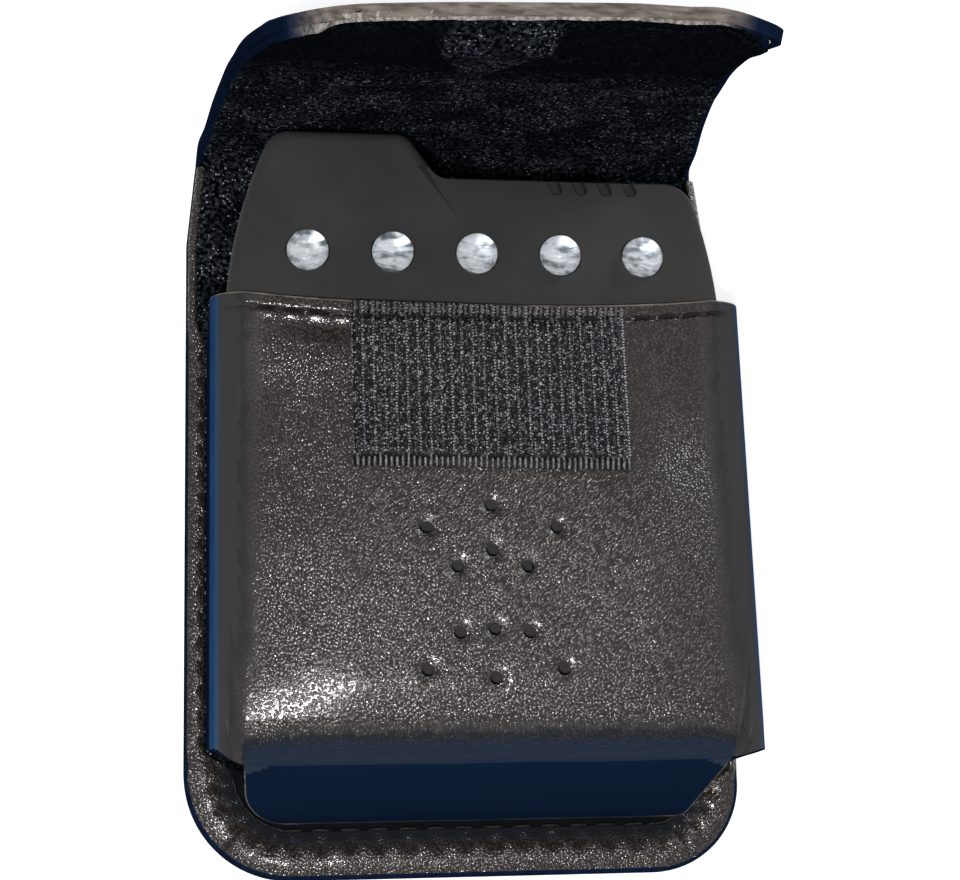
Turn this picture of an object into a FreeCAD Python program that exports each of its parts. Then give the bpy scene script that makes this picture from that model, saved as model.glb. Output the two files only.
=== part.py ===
"""Pocket radio receiver in a leather belt case, lying on its back with the flap open.

Frame: +X to the radio's right, +Y from the foot of the case towards the flap, +Z up, out of the
radio's face.  The origin is the middle of the belt loop's outer face, which the case lies on.
All lengths are in millimetres.  The radio's own pieces are drawn in the radio's frame, whose
origin is the middle of its foot on its rear face, and are moved into the case at the end.
"""
import FreeCAD
import Part
import math
import os
from FreeCAD import Vector

# ---------------------------------------------------------------- belt loop
LOOP_WIDTH = 30.0          # across the belt loop
LOOP_LENGTH = 66.0         # from one sewn end to the other
LOOP_LEATHER = 2.0         # strap thickness
LOOP_SEWN = 8.0            # length of each sewn end
LOOP_RAMP = 5.0            # run of the slope from a sewn end to the outer face
LOOP_BEND = 1.2            # softened bends of the strap
BELT_SLOT = 4.4            # free height for the belt
LOOP_CENTRE = 50.0         # loop centre above the foot of the case back

# ---------------------------------------------------------------- case back
PANEL_WIDTH = 68.2
PANEL_CORNER = 13.0        # radius of the two lower corners
PANEL_LEATHER = 1.3
PANEL_BOARD = 0.9
PANEL_LINING = 1.0
EDGE_ROUND = 1.2           # turned edge of the leather
RIM_STAND = 0.3            # turned rim above the lining
RIM_END = 2.6              # the turned rim stops this far short of the hinge line
RIM_UNDER_POCKET = 3.4     # rim width where the pocket wall stands on it
RIM_OPEN = 1.9             # rim width above the pocket
RIM_INNER_CORNER = 7.6     # inner radius of the rim's lower corners
TAPER_FROM = 80.0          # the sides start to draw in here, above the foot

# ---------------------------------------------------------------- flap
ROOT_HALF = 32.8           # half width at the hinge line
FOLD_HALF = 30.2           # half width at the fold over the radio
END_HALF = 26.8            # half width at the free end
END_CORNER = 6.5           # radius of the free corners
END_BULGE = 1.5            # the middle of the free end reaches this much further
FLAP_LEATHER = 1.4
FLAP_LINING = 1.0
FLAP_FRONT_LENGTH = 41.0   # from the fold to the free end, along the leather
FLAP_CURL_RADIUS = 220.0   # curl of the front part
FLAP_LEAN = 16.8           # lean of the front part over the radio, degrees
HINGE_GAP = 0.4            # space between the case back's knuckle and the flap's foot
FOLD_GAP = 0.3             # space between the flap's two parts

# ---------------------------------------------------------------- pocket
POCKET_LEATHER = 1.5
POCKET_SHIFT = 0.5         # the pocket is sewn on this far to the right
POCKET_EDGE = 4.0          # outer rounding of the moulded front edges
POCKET_INNER_EDGE = 1.9    # inner rounding, where the leather is pressed thinner
HEM_DROP = 5.65            # hem below the middle of the lamp row, at its ends
HEM_DIP = 1.2              # the hem is lower by this in the middle
GUSSET_LEAN = 5.5          # the bottom gusset's seam lies this far behind its front fold
FOOT_GAP = 1.4             # from the radio's foot to the outside of the front fold
SIDE_GAP = 0.55            # slack on each side of the radio
FRONT_GAP = 0.1
REAR_GAP = 0.3             # radio above the lining
TONGUE_HALF = 28.2         # half width of the bottom gusset at the fold
TONGUE_DRAW = 1.0          # it is narrower by this at the seam
CORNER_CUT_RISE = 3.2      # slanted cut at the open lower corners
TONGUE_ROUND = 5.0         # rounded lower corner of the gusset, left side
PUNCH_RADIUS = 0.8
PUNCH_HALF_COLUMN = ((0.0, 10.0), (7.6, 7.4), (0.0, 4.7), (4.05, 2.8),
                     (0.0, -4.4), (4.0, -4.8), (7.8, -9.0), (0.0, -10.0))
PUNCH_CENTRE = 17.3        # middle of the punched holes above the radio's foot

# ---------------------------------------------------------------- hook patch
PATCH_WIDTH = 32.6
PATCH_HEIGHT = 20.0
PATCH_CENTRE_X = 1.1
PATCH_DROP = 11.25         # middle of the patch below the hem
PATCH_TAPE = 0.6
PATCH_HOOKS = 0.9
PATCH_SELVAGE = 2.8        # plain woven band along the top and the foot of the patch

# ---------------------------------------------------------------- threads
THREAD_RADIUS = 0.25
STITCH_PITCH = 3.0
STITCH_LENGTH = 2.2
RIM_STITCH_OFFSET = 0.75   # stitch line outside the pocket wall
FOOT_STITCH_OFFSET = 2.6   # stitch line below the gusset seam
HEM_STITCH_OFFSET = 1.6

# ---------------------------------------------------------------- radio case
RADIO_FOOT = 13.5          # radio's foot above the foot of the case back
RADIO_SHIFT = 0.2
SHOULDER_HEIGHT = 69.0
HUMP_RISE = 5.5            # hump's top above the shoulder
FLAP_STAND = 4.8           # flap hinge line above the hump
HUMP_TOP_X = -8.1          # right end of the hump's top
HUMP_FLANK_X = -4.3        # foot of the hump's flank on the shoulder
SIDE_ARC = 60.0            # radius of the sides above the straight stretch
SIDE_STRAIGHT = 49.0       # height of the straight stretch
FOOT_CORNER = 5.0
SHOULDER_CORNER = 4.0
HUMP_CORNER = 3.0
FLANK_ROUND = 2.5
FACE_ROUND = 1.8           # rounding of the face's and the back's edges
WALL = 1.6
PARTING_DROP = 10.0        # parting line behind the face
SHOULDER_DROP = 0.6        # the face falls by this from the lamps to the top right edge
SHOULDER_SLOPE = 7.4       # length of the falling part of the face
FLANK_FOOT_X = 1.2         # lower end of the crease beside the hump
FLANK_LEAN = 1.0           # run of the crease's sloping side
SHOULDER_PAD = 1.4         # wall thickened behind the slots

# ---------------------------------------------------------------- circuit board
BOARD_DROP = 2.4           # board's rear face behind the bay's roof
BOARD_THICKNESS = 1.2
BOARD_FOOT = 26.5
BOARD_EDGE_GAP = 0.5

# ---------------------------------------------------------------- light-emitting diodes
LED_COUNT = 5
LED_PITCH = 10.16
LED_DROP = 10.25           # row below the shoulder's top edge
LED_RADIUS = 2.5
LED_FLANGE_RADIUS = 2.9
LED_FLANGE = 1.0
LED_BODY = 6.1             # flange face to the start of the dome
LED_HOLE_GAP = 0.15
LEAD_SIZE = 0.5
LEAD_PITCH = 2.54
LEAD_FIT = 0.02
LEAD_END = 0.3             # lead cut off inside the board, above its rear face
ANVIL_DROP = 1.5           # top of the lead frame below the start of the dome
ANVIL_HEIGHT = 1.5         # height of the broad head on each lead

# ---------------------------------------------------------------- slots in the top right edge
SLOT_COUNT = 4
SLOT_FIRST_X = 9.6
SLOT_PITCH = 3.1
SLOT_WIDTH = 1.5
SLOT_DROP = 2.3            # length on the face
SLOT_DEPTH = 1.1           # depth from the falling face
SLOT_SLANT = 18.0          # degrees from the vertical

# ---------------------------------------------------------------- loudspeaker and its grille
SPEAKER_RADIUS = 14.0
SPEAKER_LIFT = 0.3         # loudspeaker above the bay's roof
SPEAKER_HEIGHT = 3.9
SPEAKER_PLATE = 0.6
SPEAKER_RIM = 0.8
MAGNET_RADIUS = 6.4
MAGNET_HEIGHT = 2.0
CONE_THICKNESS = 0.25
CONE_INNER = 3.6
DUST_CAP_RISE = 0.5
GASKET_WIDTH = 1.8
GASKET_THICKNESS = 0.3
SEAT_GAP = 0.1
SEAT_WALL = 1.0
SEAT_HEIGHT = 2.2
GRILLE_HOLE_RADIUS = 0.75
GRILLE_PITCH = 4.0
GRILLE_RADIUS = 8.2

# ---------------------------------------------------------------- cells and their bay
CELL_RADIUS = 5.25
CELL_BODY = 43.7
CELL_NUB = 0.8
CELL_NUB_RADIUS = 1.9
CELL_PITCH = 11.0
CELL_GAP = 0.25
BAY_WALL = 1.0
BAY_ROOF = 0.8
BAY_FOOT = 2.9             # inside of the bay above the radio's foot
SIDE_CHANNEL = 2.55        # room for the wires between the bay and the shell
PLATE_THICKNESS = 0.4
PLATE_HALF = 4.0
TAB_HALF = 1.0
TAB_PLAY = 0.1
LEAF_LENGTH = 4.4          # reach of the leaf spring at a cell's flat end
LEAF_THICKNESS = 0.4
LEAF_HALF = 1.6
LEAF_FOOT = 3.2
LEAF_TOP = 0.9
CONTACT_GAP = 0.05

# ---------------------------------------------------------------- battery door
DOOR_GAP = 0.2
DOOR_RAIL = 0.8            # rail's reach into its groove
DOOR_RAIL_HEIGHT = 0.6
DOOR_RAIL_UP = 0.9         # rail above the rear face
DOOR_RAIL_GAP = 0.12
DOOR_GRIPS = 3
DOOR_GRIP_PITCH = 2.4
DOOR_GRIP_DEPTH = 0.4

# ---------------------------------------------------------------- thumbwheels
WHEEL_RADIUS = 7.5
WHEEL_THICKNESS = 2.3
WHEEL_GAP = 0.2            # wheel behind the parting line
WHEEL_NOTCHES = 30
WHEEL_NOTCH_RADIUS = 0.35
WHEEL_PROUD = 1.6
WHEEL_SLOT_GAP = 0.35
VOLUME_X = 3.5
TUNING_DROP = 11.5         # tuning wheel's centre below the shoulder's top edge
POT_RADIUS = 3.8
POT_HEIGHT = 1.4
POT_ROOF = 0.3             # pot left above the end of its bore
SHAFT_RADIUS = 1.5
SHAFT_FIT = 0.05           # running clearance of the shaft in the pot
SHAFT_STAND = 0.1          # shaft below the wheel's rear face
WHEEL_FIT = 0.01           # wheel on its shaft
WHEEL_SCREW_HEAD = 2.2
WHEEL_SCREW_HEIGHT = 0.7
WHEEL_SCREW_SHANK = 0.7
WHEEL_SCREW_LENGTH = 2.6
WHEEL_SCREW_FIT = 0.02

# ---------------------------------------------------------------- screws that close the radio
SCREW_SIDE = 4.6           # lower screws in from the radio's sides
SCREW_LOW = 9.5            # lower screws above the board's foot
SCREW_HUMP_X = 7.5         # upper left screw in from the side
SCREW_HUMP_DROP = 7.2
SCREW_SHOULDER_X = 14.3
SCREW_SHOULDER_DROP = 4.6
SCREW_RADIUS = 1.0
SCREW_HEAD_RADIUS = 1.8
SCREW_HEAD_HEIGHT = 1.2
SCREW_HEAD_GAP = 0.1
SCREW_RECESS = 0.9         # head below the rear face
SCREW_CROSS_REACH = 1.1
SCREW_CROSS_HALF = 0.2
SCREW_CROSS_DEPTH = 0.6
SCREW_REACH = 4.0          # screw's tip behind the face
SCREW_FIT = 0.03
SCREW_TIP_GAP = 0.5
BOSS_RADIUS = 2.3

# ---------------------------------------------------------------- ferrite aerial
ROD_X = -15.6
ROD_RADIUS = 3.2
ROD_DROP = 4.4             # rod's axis behind the board
ROD_TOP_GAP = 1.9          # rod's end below the hump's wall
ROD_LENGTH = 38.0
COIL_THICKNESS = 0.9
COIL_FIT = 0.05
COIL_START = 6.0           # along the rod
COIL_LENGTH = 14.0
CLIP_THICKNESS = 2.4
CLIP_WALL = 1.1
CLIP_INSET = 1.2           # clips in from the rod's ends

# ---------------------------------------------------------------- board parts
CHIP_PLACES = ((9.0, 45.0, 19.6, 6.4), (-12.5, 46.0, 13.0, 6.4))
CHIP_HEIGHT = 3.0
CHIP_STAND = 0.3
CHIP_LEG_PITCH = 2.54
TRANSISTOR_PLACES = ((-23.5, 42.5), (-23.5, 49.0), (24.0, 42.5), (24.0, 49.0))
TRANSISTOR_RADIUS = 2.3
TRANSISTOR_HEIGHT = 4.2
TRANSISTOR_FLAT = 1.265    # flat side from the axis
TRANSISTOR_STAND = 0.9
RESISTOR_PLACES = ((-16.0, 37.0), (-11.0, 37.0), (11.0, 37.0), (16.0, 37.0),
                   (-6.0, 52.5), (0.0, 52.5), (6.0, 52.5), (12.0, 52.5))
RESISTOR_RADIUS = 0.9
RESISTOR_LENGTH = 3.6
CAPACITOR_PLACES = ((17.5, 33.0), (17.5, 39.5), (17.5, 46.0))
CAPACITOR_RADIUS = 2.5
CAPACITOR_HEIGHT = 7.0
CAN_PLACES = ((-4.5, 32.5), (4.0, 32.5), (4.0, 41.0))
CAN_SIDE = 7.0
CAN_HEIGHT = 7.6
CAN_CORE_RADIUS = 2.2
CAN_CORE_RECESS = 0.6

# ---------------------------------------------------------------- wires inside the radio
WIRE_DIAMETER = 1.0
WIRE_BEND = 1.6
SPEAKER_WIRE_X = 3.0
SPEAKER_WIRE_RUN = 3.4     # from the loudspeaker's rim to the wires' pads
SPEAKER_WIRE_RISE = 2.85   # wires above the board
SOLDER_GAP = 0.02
TAB_OFFSET = 1.5           # contact tabs behind and in front of the cells' axis
WIRE_RISE = 1.2            # nearer wire above the board's foot
WIRE_STEP = 1.8            # from the nearer wire to the farther one
CUT_OVER = 1.0             # cutting shapes run this far past a face

# ---------------------------------------------------------------- worked out from the sizes above
panel_rear_z = LOOP_LEATHER + BELT_SLOT
panel_face_z = panel_rear_z + PANEL_LEATHER + PANEL_BOARD + PANEL_LINING
panel_foot_y = -LOOP_CENTRE
panel_half = PANEL_WIDTH / 2
panel_middle_z = (panel_rear_z + panel_face_z) / 2
hinge_radius = (panel_face_z - panel_rear_z) / 2
hump_height = SHOULDER_HEIGHT + HUMP_RISE
hinge_y = panel_foot_y + RADIO_FOOT + hump_height + FLAP_STAND
flap_thickness = FLAP_LEATHER + FLAP_LINING
rim_top_z = panel_face_z + RIM_STAND

cell_z = WALL + CELL_GAP + CELL_RADIUS
cell_rows = (BAY_FOOT + CELL_GAP + CELL_RADIUS, BAY_FOOT + CELL_GAP + CELL_RADIUS + CELL_PITCH)
bay_half = (CELL_NUB + CELL_BODY + LEAF_LENGTH) / 2 + PLATE_THICKNESS
bay_end = cell_rows[1] + CELL_RADIUS + CELL_GAP
bay_ceiling = cell_z + CELL_RADIUS + CELL_GAP
bay_outer_top = bay_ceiling + BAY_ROOF
speaker_y = PUNCH_CENTRE
speaker_rear = bay_outer_top + SPEAKER_LIFT
speaker_top = speaker_rear + SPEAKER_HEIGHT
inner_face = speaker_top + GASKET_THICKNESS
radio_depth = inner_face + WALL
shoulder_arc = (SHOULDER_SLOPE ** 2 + SHOULDER_DROP ** 2) / (2 * SHOULDER_DROP)
board_rear = bay_outer_top - BOARD_DROP
board_face = board_rear + BOARD_THICKNESS
parting = radio_depth - PARTING_DROP
led_row = SHOULDER_HEIGHT - LED_DROP
led_flange_z = radio_depth - LED_BODY
wheel_rear = parting - WHEEL_GAP - WHEEL_THICKNESS
volume_y = SHOULDER_HEIGHT + WHEEL_PROUD - WHEEL_RADIUS
tuning_y = SHOULDER_HEIGHT - TUNING_DROP
rod_axis_z = board_rear - ROD_DROP
rod_foot = hump_height - WALL - ROD_TOP_GAP - ROD_LENGTH
clip_starts = (CLIP_INSET, ROD_LENGTH - CLIP_INSET - CLIP_THICKNESS)
screw_head_top = SCREW_RECESS + SCREW_HEAD_HEIGHT
screw_tip = radio_depth - SCREW_REACH
tab_levels = (cell_z - TAB_OFFSET, cell_z + TAB_OFFSET)

radio_y = panel_foot_y + RADIO_FOOT
radio_z = panel_face_z + REAR_GAP
radio_half = bay_half + BAY_WALL + SIDE_CHANNEL + WALL
channel_x = -(bay_half + BAY_WALL + SIDE_CHANNEL / 2)
screw_places = ((-radio_half + SCREW_SIDE, BOARD_FOOT + SCREW_LOW),
                (radio_half - SCREW_SIDE, BOARD_FOOT + SCREW_LOW),
                (-radio_half + SCREW_HUMP_X, hump_height - SCREW_HUMP_DROP),
                (SCREW_SHOULDER_X, SHOULDER_HEIGHT - SCREW_SHOULDER_DROP))

pocket_front_z = radio_z + radio_depth + FRONT_GAP + POCKET_LEATHER
pocket_half = radio_half + SIDE_GAP + POCKET_LEATHER
fold_y = radio_y - FOOT_GAP
seam_y = fold_y - GUSSET_LEAN
hem_y = radio_y + led_row - HEM_DROP
patch_y = hem_y - PATCH_DROP
patch_top_z = pocket_front_z + PATCH_TAPE + PATCH_HOOKS

FOLD_CLEAR = 0.6           # closed flap above the hooks, with the spine upright
flap_fold_z = patch_top_z + FOLD_CLEAR + flap_thickness / 2


def box(x0, x1, y0, y1, z0, z1):
    """Block between two corners."""
    return Part.makeBox(x1 - x0, y1 - y0, z1 - z0, Vector(x0, y0, z0))


def rod(radius, start, end):
    """Round bar from one point to another."""
    direction = end - start
    return Part.makeCylinder(radius, direction.Length, start, direction)


def prism(corners, direction):
    """Flat outline with straight sides, pushed along a direction."""
    points = [Vector(*corner) for corner in corners]
    return Part.Face(Part.makePolygon(points + points[:1])).extrude(direction)


def joined(shapes):
    """One solid out of shapes that meet."""
    result = shapes[0].multiFuse(shapes[1:]) if len(shapes) > 1 else shapes[0]
    return result.removeSplitter()


def group(shapes):
    """Separate solids kept together in one piece of the list of parts."""
    return Part.makeCompound(shapes)


def mirrored(shape):
    """Copy on the other side of the middle plane X = 0."""
    return shape.mirror(Vector(0, 0, 0), Vector(1, 0, 0))


def edges_where(shape, test):
    """Edges whose two ends both pass the test."""
    return [edge for edge in shape.Edges if all(test(vertex.Point) for vertex in edge.Vertexes)]


def in_radio(shape):
    """Move a piece from the radio's frame to its place in the pocket."""
    moved = shape.copy()
    moved.translate(Vector(RADIO_SHIFT, radio_y, radio_z))
    return moved


def wire_tube(points, bend, diameter):
    """Round wire along straight runs joined by tangent arcs of one radius."""
    corners = [Vector(*point) for point in points]
    edges = []
    start = corners[0]
    for before, corner, after in zip(corners, corners[1:], corners[2:]):
        inward = (before - corner).normalize()
        outward = (after - corner).normalize()
        half_angle = inward.getAngle(outward) / 2
        setback = bend / math.tan(half_angle)
        arc_start = corner + inward * setback
        arc_end = corner + outward * setback
        bisector = (inward + outward).normalize()
        arc_middle = corner + bisector * (bend / math.sin(half_angle) - bend)
        edges.append(Part.LineSegment(start, arc_start).toShape())
        edges.append(Part.Arc(arc_start, arc_middle, arc_end).toShape())
        start = arc_end
    edges.append(Part.LineSegment(start, corners[-1]).toShape())
    direction = (corners[1] - corners[0]).normalize()
    section = Part.Wire(Part.makeCircle(diameter / 2, corners[0], direction))
    return Part.Wire(edges).makePipeShell([section], True, False)


# ================================================================ the case
def panel_outline(inset, top_y):
    """Outline of the case back on the plane z = 0, drawn in by an inset, up to a height."""
    half = panel_half - inset
    foot = panel_foot_y + inset
    corner = PANEL_CORNER - inset
    bend = corner * (1 - math.sqrt(0.5))
    taper_y = panel_foot_y + TAPER_FROM
    slope = (panel_half - ROOT_HALF) / (hinge_y - taper_y)
    top_half = half - slope * (top_y - taper_y)
    right = [Part.Arc(Vector(half - corner, foot, 0), Vector(half - bend, foot + bend, 0),
                      Vector(half, foot + corner, 0)).toShape(),
             Part.makeLine(Vector(half, foot + corner, 0), Vector(half, taper_y, 0)),
             Part.makeLine(Vector(half, taper_y, 0), Vector(top_half, top_y, 0))]
    top = Part.makeLine(Vector(top_half, top_y, 0), Vector(-top_half, top_y, 0))
    left = [Part.makeLine(Vector(-top_half, top_y, 0), Vector(-half, taper_y, 0)),
            Part.makeLine(Vector(-half, taper_y, 0), Vector(-half, foot + corner, 0)),
            Part.Arc(Vector(-half, foot + corner, 0), Vector(-half + bend, foot + bend, 0),
                     Vector(-half + corner, foot, 0)).toShape()]
    foot_line = Part.makeLine(Vector(-half + corner, foot, 0), Vector(half - corner, foot, 0))
    return Part.Face(Part.Wire(right + [top] + left + [foot_line]))


def panel_sheet(z0, z1):
    """Sheet with the outline of the case back, between two heights."""
    sheet = panel_outline(0, hinge_y + hinge_radius)
    sheet.translate(Vector(0, 0, z0))
    return sheet.extrude(Vector(0, 0, z1 - z0))


def end_in_knuckle(layer):
    """Layer of the case back whose upper end follows a round knuckle about the flap's hinge line."""
    reach = panel_half + ROOT_HALF
    flat = box(-reach, reach, panel_foot_y, hinge_y, panel_rear_z, rim_top_z)
    knuckle = rod(hinge_radius, Vector(-reach, hinge_y, panel_middle_z), Vector(reach, hinge_y, panel_middle_z))
    return layer.common(flat.fuse(knuckle)).removeSplitter()


def back_leather():
    """Outer leather of the case back, with a rounded lower edge."""
    sheet = panel_sheet(panel_rear_z, panel_rear_z + PANEL_LEATHER)
    end_y = hinge_y + hinge_radius
    lower = edges_where(sheet, lambda p: p.z < panel_rear_z + 0.01)
    rounded = [edge for edge in lower if edge.CenterOfMass.y < end_y - 0.01]
    return end_in_knuckle(sheet.makeFillet(min(EDGE_ROUND, 0.95 * PANEL_LEATHER), rounded))


def back_board():
    """Stiffener board behind the lining, inside the turned rim."""
    z0 = panel_rear_z + PANEL_LEATHER
    return end_in_knuckle(panel_sheet(z0, z0 + PANEL_BOARD)).common(rim_inner_outline())


def rim_inner_outline():
    """Space inside the turned rim, which is wide under the pocket and narrow above it."""
    wide = panel_half - RIM_UNDER_POCKET
    narrow = panel_half - RIM_OPEN
    taper_y = panel_foot_y + TAPER_FROM
    slope = (panel_half - ROOT_HALF) / (hinge_y - taper_y)
    far_y = hinge_y + 2 * hinge_radius
    top = narrow - slope * (far_y - taper_y)
    step_y = hem_y - HEM_DIP - 1.0
    low_y = seam_y + POCKET_LEATHER / 2
    corners = [(-wide, low_y), (wide, low_y), (wide, step_y), (narrow, step_y), (narrow, taper_y),
               (top, far_y), (-top, far_y), (-narrow, taper_y), (-narrow, step_y), (-wide, step_y)]
    z0 = panel_rear_z + PANEL_LEATHER
    solid = prism([(x, y, z0) for x, y in corners], Vector(0, 0, 2 * hinge_radius))
    low = [edge for edge in solid.Edges
           if abs(edge.CenterOfMass.y - low_y) < 0.01 and abs(abs(edge.CenterOfMass.x) - wide) < 0.01]
    return solid.makeFillet(RIM_INNER_CORNER, low)


def back_lining():
    """Loop lining inside the turned rim."""
    layer = panel_sheet(panel_face_z - PANEL_LINING, panel_face_z)
    return end_in_knuckle(layer).common(rim_inner_outline())


def rim_binding():
    """Leather rim, turned over the edge of the case back and laid round its lining."""
    z0 = panel_rear_z + PANEL_LEATHER
    top_y = hinge_y - RIM_END
    sheet = panel_outline(0, top_y)
    sheet.translate(Vector(0, 0, z0))
    strip = sheet.extrude(Vector(0, 0, rim_top_z - z0))
    upper = edges_where(strip, lambda p: p.z > rim_top_z - 0.01)
    rounded = [edge for edge in upper if edge.CenterOfMass.y < top_y - 0.01]
    strip = strip.makeFillet(EDGE_ROUND, rounded)
    return strip.cut(rim_inner_outline()).removeSplitter()


def belt_loop():
    """Strap sewn on at both ends, standing off the case back in the middle."""
    end = LOOP_LENGTH / 2
    sewn = end - LOOP_SEWN
    level = sewn - LOOP_RAMP
    t = LOOP_LEATHER
    z = panel_rear_z
    outline = [(-end, z), (-sewn, z), (-level, t), (level, t), (sewn, z), (end, z),
               (end, z - t), (sewn, z - t), (level, 0), (-level, 0), (-sewn, z - t), (-end, z - t)]
    strap = prism([(-LOOP_WIDTH / 2, y, height) for y, height in outline], Vector(LOOP_WIDTH, 0, 0))
    bends = [edge for edge in strap.Edges
             if min(abs(abs(edge.CenterOfMass.y) - level), abs(abs(edge.CenterOfMass.y) - sewn)) < 0.01]
    return strap.makeFillet(LOOP_BEND, bends)


def flap_ends():
    """The two fold lines of the flap: hinge on the case back and fold over the radio."""
    return Vector(0, hinge_y, panel_middle_z), Vector(0, hinge_y, flap_fold_z)


def flap_spine(y0, y1):
    """One layer of the flap's upright part, between two distances across its thickness."""
    hinge, fold = flap_ends()
    foot_z = hinge.z + hinge_radius + HINGE_GAP
    corners = [(-ROOT_HALF, foot_z), (ROOT_HALF, foot_z), (FOLD_HALF, fold.z + flap_thickness / 2),
               (-FOLD_HALF, fold.z + flap_thickness / 2)]
    slab = prism([(x, hinge_y + y0, z) for x, z in corners], Vector(0, y1 - y0, 0))
    upright = box(-ROOT_HALF, ROOT_HALF, hinge_y - flap_thickness, hinge_y + flap_thickness,
                  foot_z, fold.z)
    knuckle = rod(flap_thickness / 2, fold + Vector(-ROOT_HALF, 0, 0), fold + Vector(ROOT_HALF, 0, 0))
    return slab.common(upright.fuse(knuckle)).removeSplitter()


def flap_front(inner, outer):
    """One layer of the flap's front part: a gently curled sheet between two offsets."""
    fold = flap_ends()[1]
    turn = FLAP_FRONT_LENGTH / FLAP_CURL_RADIUS
    lean = math.radians(FLAP_LEAN) - turn / 2
    along = Vector(0, -math.sin(lean), math.cos(lean))
    across = Vector(0, math.cos(lean), math.sin(lean))
    start = fold + along * (flap_thickness / 2 + FOLD_GAP)
    centre = start - across * FLAP_CURL_RADIUS

    def on_arc(radius, angle):
        return centre + Vector(0, math.cos(angle), math.sin(angle)) * radius

    near, far = FLAP_CURL_RADIUS + inner, FLAP_CURL_RADIUS + outer
    last = lean + turn
    middle = lean + turn / 2
    section = Part.Wire([Part.Arc(on_arc(near, lean), on_arc(near, middle), on_arc(near, last)).toShape(),
                         Part.makeLine(on_arc(near, last), on_arc(far, last)),
                         Part.Arc(on_arc(far, last), on_arc(far, middle), on_arc(far, lean)).toShape(),
                         Part.makeLine(on_arc(far, lean), on_arc(near, lean))])
    sheet = Part.Face(section).extrude(Vector(2 * ROOT_HALF, 0, 0))
    sheet.translate(Vector(-ROOT_HALF, 0, 0))
    top_z = on_arc(FLAP_CURL_RADIUS, last).z
    reach = 4 * flap_thickness + FLAP_FRONT_LENGTH
    near_y = hinge_y - reach
    corner_z = top_z - END_BULGE
    left, right = Vector(-END_HALF, near_y, corner_z), Vector(END_HALF, near_y, corner_z)
    root_left, root_right = Vector(-FOLD_HALF, near_y, fold.z), Vector(FOLD_HALF, near_y, fold.z)
    face = Part.Face(Part.Wire([Part.makeLine(left, root_left), Part.makeLine(root_left, root_right),
                                Part.makeLine(root_right, right),
                                Part.Arc(right, Vector(0, near_y, top_z), left).toShape()]))
    outline = face.extrude(Vector(0, 2 * reach, 0))
    corners = [edge for edge in outline.Edges if abs(abs(edge.CenterOfMass.x) - END_HALF) < 0.01
               and abs(edge.CenterOfMass.z - corner_z) < 0.01]
    outline = outline.makeFillet(END_CORNER, corners)
    return sheet.common(outline).removeSplitter()


def pocket_block(inset, edge_radius):
    """Solid that the pocket is moulded round, drawn in by an inset on every leather side."""
    slant = math.hypot(GUSSET_LEAN, pocket_front_z - rim_top_z) / (pocket_front_z - rim_top_z)
    step = inset * slant
    slope = GUSSET_LEAN / (pocket_front_z - rim_top_z)
    front = pocket_front_z - inset
    low_z = rim_top_z - inset
    low_y = seam_y + step - slope * inset
    front_y = fold_y + step - slope * inset
    top_y = hem_y + 1.0 + inset
    half = pocket_half - inset
    side = prism([(-half, low_y, low_z), (-half, front_y, front), (-half, top_y, front),
                  (-half, top_y, low_z)], Vector(2 * half, 0, 0))
    side.translate(Vector(POCKET_SHIFT, 0, 0))
    front_edges = edges_where(side, lambda p: p.z > front - 0.01)
    moulded = [edge for edge in front_edges if edge.CenterOfMass.y < top_y - 0.01]
    return side.makeFillet(edge_radius, moulded)


def hem_cut():
    """Space above the pocket's hem, whose edge dips a little in the middle."""
    left = POCKET_SHIFT - pocket_half - 1
    right = POCKET_SHIFT + pocket_half + 1
    arc = Part.Arc(Vector(left, hem_y, rim_top_z - 1), Vector(POCKET_SHIFT, hem_y - HEM_DIP, rim_top_z - 1),
                   Vector(right, hem_y, rim_top_z - 1)).toShape()
    top = hem_y + 6
    lines = [Part.makeLine(Vector(right, hem_y, rim_top_z - 1), Vector(right, top, rim_top_z - 1)),
             Part.makeLine(Vector(right, top, rim_top_z - 1), Vector(left, top, rim_top_z - 1)),
             Part.makeLine(Vector(left, top, rim_top_z - 1), Vector(left, hem_y, rim_top_z - 1))]
    return Part.Face(Part.Wire([arc] + lines)).extrude(Vector(0, 0, pocket_front_z - rim_top_z + 2))


def corner_cut():
    """Open lower corner of the pocket, right side."""
    low = seam_y - 2
    side_y = fold_y - POCKET_LEATHER + CORNER_CUT_RISE
    seam_half = TONGUE_HALF - TONGUE_DRAW
    z0 = rim_top_z - 2
    outline = [(seam_half, low, z0), (TONGUE_HALF, fold_y - POCKET_LEATHER, z0),
               (pocket_half, side_y, z0), (pocket_half + 3, side_y, z0), (pocket_half + 3, low, z0)]
    return prism(outline, Vector(0, 0, pocket_front_z - z0 + 2))


def tongue_rounding():
    """Leather taken off the gusset's lower left corner."""
    x = -(TONGUE_HALF - TONGUE_DRAW) - 0.5
    block = box(x - CUT_OVER, x + TONGUE_ROUND, seam_y - 2 * CUT_OVER, fold_y,
                rim_top_z - CUT_OVER, rim_top_z + TONGUE_ROUND)
    centre = Vector(x + TONGUE_ROUND, seam_y - 3 * CUT_OVER, rim_top_z + TONGUE_ROUND)
    disc = rod(TONGUE_ROUND, centre, centre + Vector(0, GUSSET_LEAN + 6 * CUT_OVER, 0))
    return block.cut(disc)


def punch_places():
    """Centres of the punched holes, counted from the middle of the pattern."""
    places = []
    for x, y in PUNCH_HALF_COLUMN:
        places.append((x, y))
        if x > 0:
            places.append((-x, y))
    return places


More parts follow.
